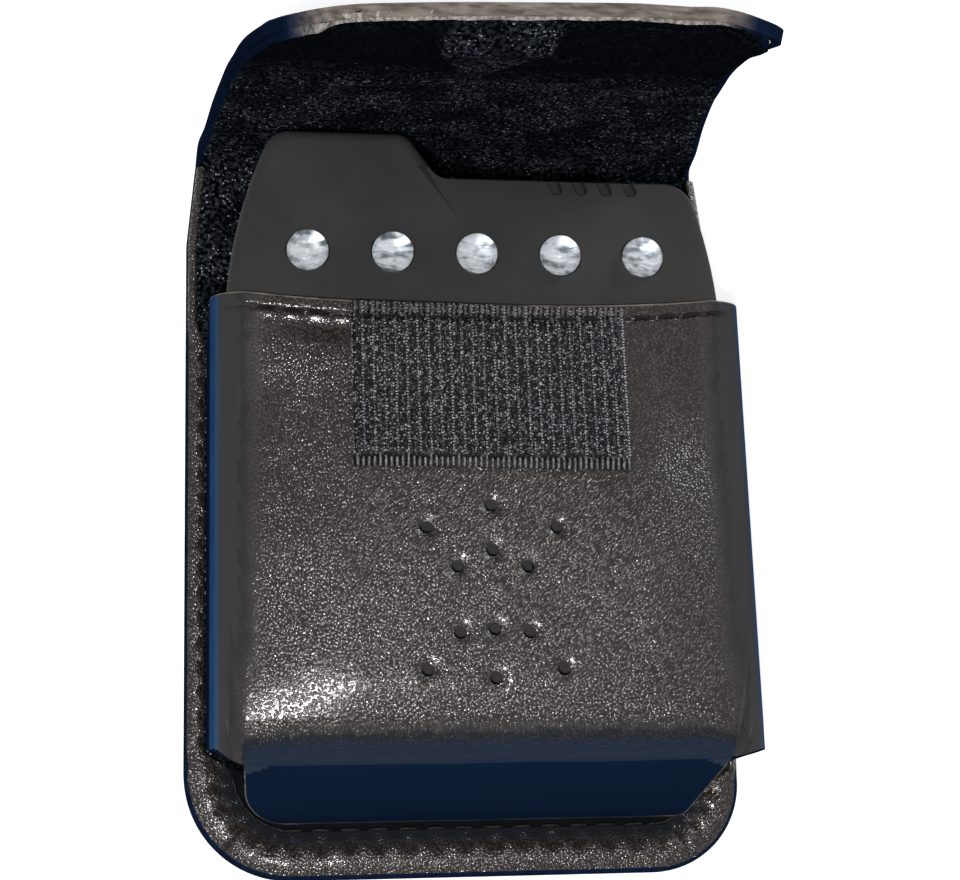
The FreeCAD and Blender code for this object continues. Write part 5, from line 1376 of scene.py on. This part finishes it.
        # hole walls get near-black painted shade; outer walls get the navy painted reflection and shade
        # coat
        for face in cloth.thicken(self.leather):
            a, d = cloth.middle(face)
            hole = abs(a) < self.flat - 1 and 0.1 < d < 0.9
            face.material_index = 4 if hole else 3 if abs(a) > self.flat + 1 and d > 0.02 else 2
        pocket = Shape.finish("pocket_front", cloth.bm, finishes.leather, finishes.strip, finishes.cut,
                              finishes.edge, finishes.groove, finishes.smooth, crease=50)
        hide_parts("pocket_leather")
        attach(pocket, Body.CASE.value)
        log.info("built %s", pocket.name)


@dataclass
class HookPatch:
    """Hook side of a touch fastener: ribbed woven tape with rows of monofilament hooks."""

    tape: float = 0.6
    hook: float = 0.95
    hook_bend: float = 0.2
    hook_turn: float = 200.0
    root: float = 0.1
    column: float = 0.65
    row: float = 0.62
    top_selvage: float = 1.7
    foot_selvage: float = 1.4
    wire: float = 0.085
    left: float = field(init=False)
    right: float = field(init=False)
    foot: float = field(init=False)
    top: float = field(init=False)

    def __post_init__(self) -> None:
        """Takes the place of the patch from the frame."""
        low, high = mm_box("hook_patch")
        self.left, self.right, self.foot, self.top = low.x, high.x, low.y, high.y

    def one_hook(self) -> bmesh.types.BMesh:
        """Bends one hook of wire, rooted a little inside the tape.

        Returns:
            The hook in mm.
        """
        hook = bmesh.new()
        bmesh.ops.create_circle(hook, cap_ends=True, segments=4, radius=self.wire)
        bmesh.ops.translate(hook, vec=Vector((0.0, 0.0, -self.root)), verts=hook.verts[:])
        stem = bmesh.ops.extrude_face_region(hook, geom=hook.faces[:])["geom"]
        bmesh.ops.translate(hook, vec=Vector((0, 0, self.hook - self.tape + self.root)),
                            verts=[v for v in stem if isinstance(v, bmesh.types.BMVert)])
        tip = [f for f in stem if isinstance(f, bmesh.types.BMFace)]
        bmesh.ops.spin(hook, geom=tip, cent=(0, self.hook_bend, self.hook - self.tape), axis=(-1, 0, 0),
                       angle=math.radians(self.hook_turn), steps=4)
        bmesh.ops.recalc_face_normals(hook, faces=hook.faces[:])
        return hook

    def build(self, pocket: Pocket, finishes: Finishes) -> None:
        """Builds the tape and its hooks on the pocket's face.

        Args:
            pocket: The pocket that carries the patch.
            finishes: The materials.
        """
        def top_at(x: float) -> float:
            """Height of the tape's upper end, just below the hem."""
            return pocket.hem_at(x - pocket.centre) - 0.15 - 0.3 * smooth(-4, 14, x)

        def height(x: float, y: float) -> float:
            """Gives the tape's height over the pocket, with its ribs and selvages.

            Args:
                x: Place across in mm.
                y: Place along in mm.

            Returns:
                The height in mm.
            """
            ease = smooth(0, 1.0, min(x - self.left, self.right - x, y - self.foot))
            rib = math.sin(math.tau * x / self.column)
            plain = 1 - smooth(self.foot_selvage, self.foot_selvage + 0.3, y - self.foot)
            plain += 0.4 * smooth(-self.top_selvage - 0.3, -self.top_selvage, y - self.top)
            groove = 0.22 * bell(self.top - y - self.top_selvage, 0.3)
            groove += 0.12 * bell(y - self.foot - self.foot_selvage, 0.3)
            return self.tape * (0.5 + 0.5 * ease) + (0.03 + 0.08 * plain) * rib - groove

        def place(x: float, y: float) -> Vector:
            """Gives a point of the tape's face, which lies on the pocket and bows a little.

            Args:
                x: Place across in mm.
                y: Place along in mm.

            Returns:
                The point in mm.
            """
            share = (y - self.foot) / (self.top - self.foot)
            low = self.foot + 0.15 * ripple(x, 0, 7, 2.2) - 0.25 * smooth(-6, 14, x)
            there = low + (top_at(x) - low) * share
            bow = 0.12 * ripple(0, y, 6, 4.0) * (1 - smooth(0, 3, min(x - self.left, self.right - x)))
            return pocket.face(x, there) + Vector((bow, 0, height(x, y)))

        def selvage(x: float, y: float) -> float:
            """How plainly the warp ribs show as pale painted glint lines: fully at the tape's foot, and
            partly at its top.
            """
            foot = smooth(self.foot_selvage - 0.1, self.foot_selvage + 0.2, y - self.foot)
            return 1 - foot + 0.4 * smooth(-self.top_selvage - 0.2, -self.top_selvage + 0.1, y - self.top)

        cloth = Cloth(steps((self.left, 0), (self.right, 300)), steps((self.foot, 0), (self.top, 90)))
        cloth.place(place)
        cloth.mark("selvage", selvage)
        cloth.thicken(self.tape * 0.8)
        tape = Shape.finish("hook_tape", cloth.bm, finishes.tape)
        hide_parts("hook_patch")
        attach(tape, Body.CASE.value)

        places = []
        x, number = self.left + 0.55, 0
        while x < self.right - 0.4:
            y = self.foot + self.foot_selvage + 0.1 + 0.3 * (number % 2)
            while y < self.top - self.top_selvage - 0.1:
                sway = Vector((ripple(x, y, 0.37, 7.0), ripple(x, y, 0.41, 8.0), ripple(x, y, 0.53, 9.0)))
                where = place(x + 0.22 * sway.x, y + 0.25 * sway.y)
                turn = (0.0 if number % 2 else math.pi) + 2.4 * sway.z
                places.append(Matrix.Translation(where) @ Matrix.Rotation(turn, 4, "Z")
                              @ Matrix.Rotation(0.9 * sway.x, 4, "X") @ Matrix.Scale(1 + 0.4 * sway.y, 4))
                y += self.row
            x += self.column
            number += 1
        hooks = Shape.finish("hook_rows", Shape.copies(self.one_hook(), places), finishes.hook)
        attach(hooks, Body.CASE.value)
        log.info("built %s and %d hooks", tape.name, len(places))


@dataclass
class Threads:
    """Lockstitch seams, each stitch its own short arch of thread."""

    length: float = 2.5
    pitch: float = 3.0
    radius: float = 0.22
    arch: float = 0.2
    clearance: float = 1.4
    rim_top: float = 10.0
    rim_foot: float = 9.15

    def row(self, points: Sequence[tuple[Vector, Vector]], sway: float = 0.0) -> list[Matrix]:
        """Turns points and directions into places of stitches.

        Args:
            points: Middle of each stitch with its direction.
            sway: How unevenly the stitches lie, from 0.

        Returns:
            The places.
        """
        places = []
        for number, (point, along) in enumerate(points):
            turn = math.atan2(along.y, along.x) + sway * ripple(number * 1.7, 0, 1, 6.0)
            places.append(Matrix.Translation(point) @ Matrix.Rotation(turn, 4, "Z"))
        return places

    def piece(self, name: str, places: Sequence[Matrix], node: str, finishes: Finishes,
              flip: bool = False) -> None:
        """Makes one seam and sets it on the case.

        Args:
            name: Name of the piece.
            places: Where the stitches lie.
            node: CAD node that the seam stands for.
            finishes: The materials.
            flip: Whether the stitches arch downwards.
        """
        stitch = Shape.thread(self.length, self.radius, self.arch)
        if flip:
            bmesh.ops.rotate(stitch, cent=(0, 0, 0), matrix=Matrix.Rotation(math.pi, 3, "X"),
                             verts=stitch.verts[:])
        seam = Shape.finish(name, Shape.copies(stitch, places), finishes.thread)
        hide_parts(node)
        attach(seam, Body.CASE.value)
        log.info("built %s with %d stitches", name, len(places))

    def build(self, pocket: Pocket, patch: HookPatch, rim: RimBinding, finishes: Finishes) -> None:
        """Builds the seams of the case.

        Args:
            pocket: The pocket.
            patch: The hook patch.
            rim: The rim binding.
            finishes: The materials.
        """
        hem = []
        x = pocket.centre + pocket.stitch_start + self.pitch / 2
        while x < pocket.centre + pocket.flat + 1:
            if x + self.clearance < patch.left or x - self.clearance > patch.right:
                y = pocket.hem_at(x - pocket.centre) - pocket.hem_band - pocket.needle_line
                hem.append((Vector((x, y, pocket.face(x, y).z + 0.16)), Vector((1, 0.03, 0))))
            x += self.pitch
        self.piece("hem_seam", self.row(hem, 0.35), "hem_stitches", finishes)
        tape_rows = []
        for y in (patch.foot + patch.foot_selvage * 0.9, patch.top - patch.top_selvage - 0.1):
            x = patch.left + 1.6
            while x < patch.right - 1.2:
                tape_rows.append((pocket.face(x, y) + Vector((0, 0, patch.tape - 0.1)), Vector((1, 0, 0))))
                x += self.pitch
        self.piece("patch_seam", self.row(tape_rows, 0.2), "patch_stitches", finishes)
        line = []
        for _, point, out in rim.stitch_line():
            foot = rim.footing(point)
            deep = 0.72 * rim.width(point) + 0.08 * foot * rim.foot_width
            height = self.rim_top + (self.rim_foot - self.rim_top) * foot
            line.append((point - out * deep + Vector((0, 0, height)), Vector((-out.y, out.x, 0))))
        self.piece("rim_seam", self.row(line, 0.15), "rim_stitches", finishes)


@dataclass
class BeltLoop:
    """Broad leather strap on the back that a belt runs through."""

    thick: float = 2.0
    reach: float = 33.0
    slot_half: float = 19.6
    ramp: float = 4.6
    seams: tuple[float, float] = (0.2, 6.2)
    seam_end: float = 3.0

    def build(self, threads: Threads, finishes: Finishes) -> None:
        """Builds the strap and its stitches.

        Args:
            threads: Maker of the seams.
            finishes: The materials.
        """
        low, high = mm_box("belt_loop")
        half = (high.x - low.x) / 2

        def height(y: float) -> float:
            """Height of the strap's outer face, which rises from the belt's slot to both ends."""
            rise = smooth(self.slot_half, self.slot_half + self.ramp, abs(y))
            return low.z + (high.z - self.thick - low.z) * rise

        cloth = Cloth(steps((-half, 0), (half, 40)), steps((low.y, 0), (high.y, 120)))

        def place(x: float, y: float) -> Vector:
            """Gives a point of the strap's outer face, with rounded corners and a slight sag.

            Args:
                x: Place across in mm.
                y: Place along in mm.

            Returns:
                The point in mm.
            """
            corner = max(0.0, abs(x) - half + 1.5) ** 2 * 0.12 * smooth(self.reach - 3, self.reach, abs(y))
            sag = 0.12 * ripple(x, y, 12, 5.5) + 0.1 * (abs(x) / half) ** 4
            return Vector((x, y - math.copysign(corner, y), height(y) + max(0.0, sag)))

        cloth.place(place)
        cloth.mark("plain", lambda x, y: smooth(half - 0.9, half - 0.2, abs(x)))
        cloth.face_towards(Vector((0, 0, -1)))
        # the strap's cut edges take the navy painted reflection coat
        for face in cloth.thicken(self.thick):
            face.material_index = 1
        strap = Shape.finish("belt_strap", cloth.bm, finishes.leather, finishes.edge)
        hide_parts("belt_loop")
        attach(strap, Body.CASE.value)
        _, stitch_high = mm_box("loop_stitches")
        line = []
        for side in (-1, 1):
            for y in (stitch_high.y - inset for inset in self.seams):
                x = -half + self.seam_end
                while x < half - 2:
                    line.append((Vector((x, side * y, high.z - self.thick - 0.02)), Vector((1, 0, 0))))
                    x += threads.pitch
        threads.piece("loop_seam", threads.row(line), "loop_stitches", finishes, flip=True)
        log.info("built %s", strap.name)


@dataclass
class Flap:
    """Closing flap: a spine that stands up behind the radio, then a front part that leans over it."""

    leather: float = 1.4
    lining: float = 1.0
    split: float = 24.0
    corner_left: float = 8.0
    corner_right: float = 5.5
    end_gap: float = 0.15
    end_press: float = 0.65
    lining_inset: float = 0.9
    mean_half: float = 28.0
    fold: float = 27.8
    fold_reach: float = 4.0
    root_start: tuple[float, float, float] = (0.0, 40.6, 7.0)
    root_end: tuple[float, float, float] = (0.0, 43.0, 13.0)
    pad_height: float = 2.4
    pad_middle: float = -3.9
    root_rise: float = 0.6
    # where the flap's cut edge turns navy, a painted reflection, on the left and the right
    blue_reflection_left: tuple[float, float] = (-25.4, -21.0)
    blue_reflection_right: tuple[float, float] = (19.0, 23.0)
    course: tuple[tuple[float, ...], ...] = (
        # distance along, y, z, left half width, right half width
        (0.0, 40.2, 7.9, 33.05, 33.05), (1.2, 41.35, 8.15, 32.95, 32.95), (2.35, 42.25, 8.85, 32.8, 32.85),
        (3.6, 42.6, 10.1, 32.6, 32.85), (7.1, 42.75, 13.6, 32.0, 32.6), (15.1, 42.95, 21.6, 31.15, 31.5),
        (23.1, 42.95, 29.6, 30.1, 30.7), (27.1, 42.5, 33.6, 29.65, 30.4), (31.2, 41.75, 37.6, 29.15, 29.9),
        (35.3, 40.95, 41.6, 28.75, 29.4), (39.4, 39.95, 45.6, 28.3, 28.95), (43.6, 38.75, 49.6, 27.8, 28.5),
        (47.8, 37.5, 53.6, 27.3, 28.0), (52.0, 36.25, 57.6, 26.85, 27.6), (56.2, 35.0, 61.6, 26.4, 27.3),
        (60.5, 33.5, 65.6, 25.9, 27.0), (64.8, 32.0, 69.6, 25.4, 26.75), (69.9, 30.25, 74.5, 24.8, 26.4))
    # place across, how far the end stands out there
    lift: tuple[tuple[float, float], ...] = (
        (-27, -1.1), (-22.8, -0.5), (-19.9, -0.15), (-17, 0.1), (-13, 0.35), (-8, 0.6), (-2, 0.8),
        (3.5, 1.0), (9.5, 1.15), (12.5, 1.1), (15.4, 1.02), (18.3, 1.08), (20.6, 0.75), (23.3, 0.12),
        (27, -0.55))
    # distance along, half width of the pad
    pad: tuple[tuple[float, float], ...] = ((38, 0.0), (42, 1.0), (52, 3.0), (62, 6.4), (70, 8.0))

    @property
    def end(self) -> float:
        """Distance along to the flap's end."""
        return self.course[-1][0]

    def point(self, share: float, along: float, off: float, inset: float = 0.0) -> Vector:
        """Gives a point of the flap.

        Args:
            share: Place across, from -1 to 1.
            along: Distance along from the root in mm.
            off: Distance from the seam between leather and lining, outwards if positive.
            inset: How far the piece stays inside the leather's edge.

        Returns:
            The point in mm.
        """
        y, z, left_half, right_half = between(self.course, along)
        y1, z1, _, _ = between(self.course, min(self.end, along + 0.2))
        y0, z0, _, _ = between(self.course, max(0.0, along - 0.2))
        tangent = Vector((0, y1 - y0, z1 - z0)).normalized()
        out = Vector((0, tangent.z, -tangent.y))
        half, corner = (left_half, self.corner_left) if share < 0 else (right_half, self.corner_right)
        rest = self.end - along
        cut = corner - math.sqrt(max(0.0, corner**2 - (corner - rest) ** 2)) if rest < corner else 0.0
        x = share * (half - inset - cut)
        raised = between(self.lift, x)[0] * smooth(40, self.end, along)
        waver = 0.12 * ripple(x, along, 16, 2.9) * smooth(30, 45, along)
        return Vector((x, y, z)) + out * (off + raised + waver)

    def relief(self, x: float, along: float) -> float:
        """How far the lining bulges into the case at a place.

        Args:
            x: Place across in mm.
            along: Distance along from the root in mm.

        Returns:
            The height in mm.
        """
        inside = between(self.pad, along)[0] - abs(x - self.pad_middle)
        pad = smooth(-0.9, 0.9, inside) * smooth(38, 42, along) * (1 - smooth(64.0, 69.3, along))
        left = bell(along - 39, 0.6) + bell(along - 30, 0.7)
        right = bell(along - 48, 0.6) + bell(along - 35, 0.7)
        lines = left * smooth(-9, -12, x) * smooth(-25, -22, x)
        lines += right * smooth(4, 8, x) * smooth(21, 17, x)
        nap = 0.07 * ripple(x, along, 0.55, 3.3) + 0.1 * ripple(x, along, 5.0, 4.7)
        press = self.end_press * smooth(self.end - 2.2, self.end - 0.6, along)
        rise = self.root_rise * (1 - smooth(0, 6, along))
        return self.pad_height * pad + 0.5 * lines + nap + rise - press

    def inset(self, share: float, along: float) -> float:
        """How far the lining stays inside the leather's edge, which is more on the right and near the end.

        Args:
            share: Place across, from -1 to 1.
            along: Distance along from the root in mm.

        Returns:
            The distance in mm.
        """
        right = smooth(0, 0.3, share)
        return self.lining_inset * (0.5 + 0.5 * right) + 0.7 * smooth(25, 40, along) * right

    def part(self, name: str, span: tuple[float, float], lined: bool,
             finishes: Finishes) -> bpy.types.Object:
        """Makes one layer of one part of the flap.

        Args:
            name: Name of the piece.
            span: Where it starts and ends along the flap.
            lined: Whether it is the lining.
            finishes: The materials.

        Returns:
            The piece.
        """
        knee = min(span[1], self.end - 9.0)
        rows = [(span[0], 0), (knee, int((knee - span[0]) / 0.5))]
        if span[1] > knee:
            rows += [(self.end - 2.6, 16), (self.end - 0.7, 8), (span[1], 7)]
        cloth = Cloth(steps((-1.0, 0), (1.0, 140)), steps(*rows))

        def inside(u: float, v: float) -> Vector:
            """Gives a point of the lining's face."""
            off = -self.lining - self.relief(u * self.mean_half, v)
            return self.point(u, v, off, self.inset(u, v))

        def corner(u: float, v: float) -> float:
            """How far the cut edge is painted navy as a reflection, which is all but the middle of the
            flap's end.
            """
            x = self.point(u, v, 0.0).x
            return max(1 - smooth(*self.blue_reflection_left, x), smooth(*self.blue_reflection_right, x))

        if lined:
            cloth.place(inside)
            # nap mark: painted light and glints on the lining
            cloth.mark("nap", lambda u, v: self.nap(u * self.mean_half, v))
            cloth.face_towards(Vector((0, -1, 0)))
        else:
            cloth.place(lambda u, v: self.point(u, v, self.leather))
            cloth.mark("plain", lambda u, v: smooth(0.975, 0.99, abs(u)))
            cloth.face_towards(Vector((0, 1, 0)))
        cloth.mark("corner", corner)
        rims = cloth.thicken(self.lining * 0.96 if lined else self.leather)
        if not lined:
            # side edges of the leather painted navy as a reflection
            cloth.finish_with(1, lambda u, v: abs(u) > 0.95)
        for face in rims:
            # end rims: the light edge finish in the middle, navy painted reflection towards the corners
            u, v = cloth.middle(face)
            face.material_index = 2 if corner(u, v) < 0.98 else 1
        return Shape.finish(name, cloth.bm, finishes.lining if lined else finishes.leather, finishes.edge,
                            finishes.lining_end_highlight if lined else finishes.cut)

    def nap(self, x: float, along: float) -> float:
        """How strongly the lining is painted lit and glinting at a place; the upper front is left in
        painted shade.

        Args:
            x: Place across in mm.
            along: Distance along from the root in mm.

        Returns:
            A share from 0 to 1.
        """
        inside = between(self.pad, along)[0] - abs(x - self.pad_middle)
        on_pad = smooth(-0.5, 1.0, inside) * smooth(38, 42, along)
        return max(0.1 + 0.9 * (1 - smooth(28, 42, along)), on_pad)

    def build(self, finishes: Finishes) -> None:
        """Builds the four layers along the flap's course over its two folds.

        Args:
            finishes: The materials.
        """
        for lined in (False, True):
            kind = "lining" if lined else "leather"
            stop = self.end - (self.end_gap if lined else 0.0)
            spine = self.part(f"flap_spine_{kind}_skin", (0.0, self.split), lined, finishes)
            front = self.part(f"flap_front_{kind}_skin", (self.split, stop), lined, finishes)
            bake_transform(spine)
            low = self.point(0, self.fold - self.fold_reach, 0)
            high = self.point(0, self.fold + self.fold_reach, 0)
            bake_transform(front)
            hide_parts(f"flap_spine_{kind}")
            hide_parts(f"flap_front_{kind}")
            for piece in (spine, front):
                log.info("built %s", piece.name)


# ---------------------------------------------------------------- radio
@dataclass
class Lamps:
    """Five clear lamps with the silvered reflectors that fill them from below."""

    count: int = 5
    radius: float = 2.5
    flange: float = 2.9
    flange_height: float = 1.0
    bowl_radius: float = 2.3
    bowl_depth: float = 1.5
    # place of the painted gleam from each lamp's middle
    painted_gleam: tuple[float, float] = (0.7, 1.15)

    def build(self, finishes: Finishes) -> None:
        """Builds each lamp and sets it on its body.

        Args:
            finishes: The materials.
        """
        bowls = []
        for number in range(1, self.count + 1):
            node = f"led_{number}"
            low, high = mm_box(node)
            middle = (low + high) / 2
            dome = [(self.radius * math.cos(t), high.z - self.radius + self.radius * math.sin(t))
                    for t in [math.pi / 2 * k / 14 for k in range(15)]]
            dome[-1] = (0.0, high.z)
            brim = low.z + self.flange_height
            profile = [(0.0, low.z), (self.flange - 0.15, low.z), (self.flange, low.z + 0.15),
                       (self.flange, brim - 0.1), (self.flange - 0.1, brim), (self.radius, brim), *dome]
            bm = Shape.spun(profile, 40)
            bmesh.ops.translate(bm, vec=Vector((middle.x, middle.y, 0)), verts=bm.verts[:])
            lamp = Shape.finish(f"lamp_{number}", bm, finishes.slots["led_epoxy"], crease=50)
            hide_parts(node)
            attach(lamp, Body.CASE.value)
            turn = Matrix.Rotation(0.7 * number, 4, "Z")
            bowls.append(Matrix.Translation((middle.x, middle.y, high.z - self.radius - 0.1)) @ turn)
        wall = [(self.bowl_radius * share, -self.bowl_depth * (1 - share**2) + 0.12 * math.sin(9 * share))
                for share in [k / 12 for k in range(13)]]
        below = -self.bowl_depth - 0.3
        bowl = Shape.spun([*wall, (self.bowl_radius, below), (0.0, below)], 32)
        bm = Shape.copies(bowl, bowls)
        # painted gleam where the cup glows, and painted shadow ring at its rim
        painted_gleam, shadow = (bm.verts.layers.float.new(name) for name in ("painted_gleam", "shadow"))
        for vert in bm.verts:
            off = min((vert.co.xy - place.translation.xy for place in bowls), key=lambda way: way.length)
            vert[painted_gleam] = bell((off - Vector(self.painted_gleam)).length, 0.55)
            vert[shadow] = smooth(1.75, 2.2, off.length)
        piece = Shape.finish("lamp_reflectors", bm, finishes.silver)
        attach(piece, Body.CASE.value)
        log.info("built %d lamps", self.count)


class RadioParts:
    """The rigid CAD nodes of the radio, dressed in their materials."""

    def dress(self, finishes: Finishes) -> None:
        """Gives every carried-over node the finish of its slot.

        Args:
            finishes: The materials.
        """
        for name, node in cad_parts.items():
            for index, old in enumerate(node.data.materials):
                slot = old.name.split(".")[0] if old else ""
                if slot in finishes.slots:
                    node.data.materials[index] = finishes.slots[slot]
            log.info("dressed %s", name)


# ---------------------------------------------------------------- studio
@dataclass
class Studio:
    """White sweep, soft lamps and the camera."""

    lens: float = 76.635
    eye: tuple[float, float, float] = (-37.1, -60.8, 258.4)
    yaw: float = -0.160
    pitch: float = 0.253
    roll: float = -0.032
    surround: float = 0.28
    key: float = 0.55
    window: float = 0.4
    sweep_glow: float = 0.6
    sweep_paint: str = "f2f2f2"

    def camera(self) -> None:
        """Sets up the camera."""
        data = bpy.data.cameras.new("camera")
        data.lens, data.sensor_width = self.lens, 36.0
        data.clip_start, data.clip_end = 0.01, 20.0
        eye = bpy.data.objects.new("camera", data)
        bpy.context.scene.collection.objects.link(eye)
        turn = (Matrix.Rotation(self.yaw, 4, "Y") @ Matrix.Rotation(self.pitch, 4, "X")
                @ Matrix.Rotation(self.roll, 4, "Z"))
        eye.matrix_world = Matrix.Translation(Vector(self.eye) * MM) @ turn
        bpy.context.scene.camera = eye

    def lamp(self, name: str, place: tuple[float, float, float], size: float, power: float,
             warmth: str) -> None:
        """Adds one soft lamp that looks at the object.

        Args:
            name: Name of the lamp.
            place: Its place in mm.
            size: Its side in mm.
            power: Its power in watts.
            warmth: Its colour as sRGB hex.
        """
        data = bpy.data.lights.new(name, "AREA")
        data.size, data.energy, data.color = size * MM, power, linear(warmth)[:3]
        lamp = bpy.data.objects.new(name, data)
        lamp.location = Vector(place) * MM
        aim = Vector((0, -5, 20)) * MM - lamp.location
        lamp.rotation_euler = aim.to_track_quat("-Z", "Y").to_euler()
        bpy.context.scene.collection.objects.link(lamp)

    def floor(self) -> None:
        """Lays the sweep under the object."""
        bm = bmesh.new()
        bmesh.ops.create_grid(bm, x_segments=1, y_segments=1, size=4000)
        bmesh.ops.translate(bm, vec=Vector((0, 0, -0.3)), verts=bm.verts[:])
        s = Shader("matt_white_sweep")
        rays = s.add(Kind.PATH).node.outputs
        seen = s.add(Kind.HIGHER, rays["Is Camera Ray"], rays["Is Glossy Ray"])
        seen = s.add(Kind.HIGHER, seen, rays["Is Transmission Ray"])
        s.set(Base_Color=linear(self.sweep_paint), Roughness=0.9, Emission_Color=linear("ffffff"),
              Emission_Strength=s.add(Kind.TIMES, seen, self.sweep_glow))
        Shape.finish("floor", bm, s.material)

    def world(self) -> None:
        """Sets the even surrounding light."""
        world = bpy.data.worlds.new("surround")
        bpy.context.scene.world = world
        world.use_nodes = True
        light = world.node_tree.nodes["Background"]
        light.inputs["Color"].default_value = linear("f4f7ff")
        light.inputs["Strength"].default_value = self.surround

    def build(self) -> None:
        """Builds the studio."""
        self.camera()
        self.floor()
        self.world()
        self.lamp("key", (-52, -92, 285), 22, self.key, "fffcfa")
        self.lamp("window", (260, 240, 190), 90, self.window, "f6f9ff")
        bpy.context.scene.view_settings.view_transform = "Standard"


def main() -> None:
    """Builds the whole model in order."""
    logging.basicConfig(level=logging.INFO, format="%(name)s: %(message)s")
    Studio().build()
    finishes = Finishes()
    RadioParts().dress(finishes)
    rim = RimBinding()
    CaseBack(rim).build(finishes)
    rim.build(finishes)
    pocket = Pocket()
    pocket.build(finishes)
    patch = HookPatch()
    patch.build(pocket, finishes)
    threads = Threads()
    threads.build(pocket, patch, rim, finishes)
    BeltLoop().build(threads, finishes)
    Flap().build(finishes)
    Lamps().build(finishes)


if __name__ == "__main__":
    main()
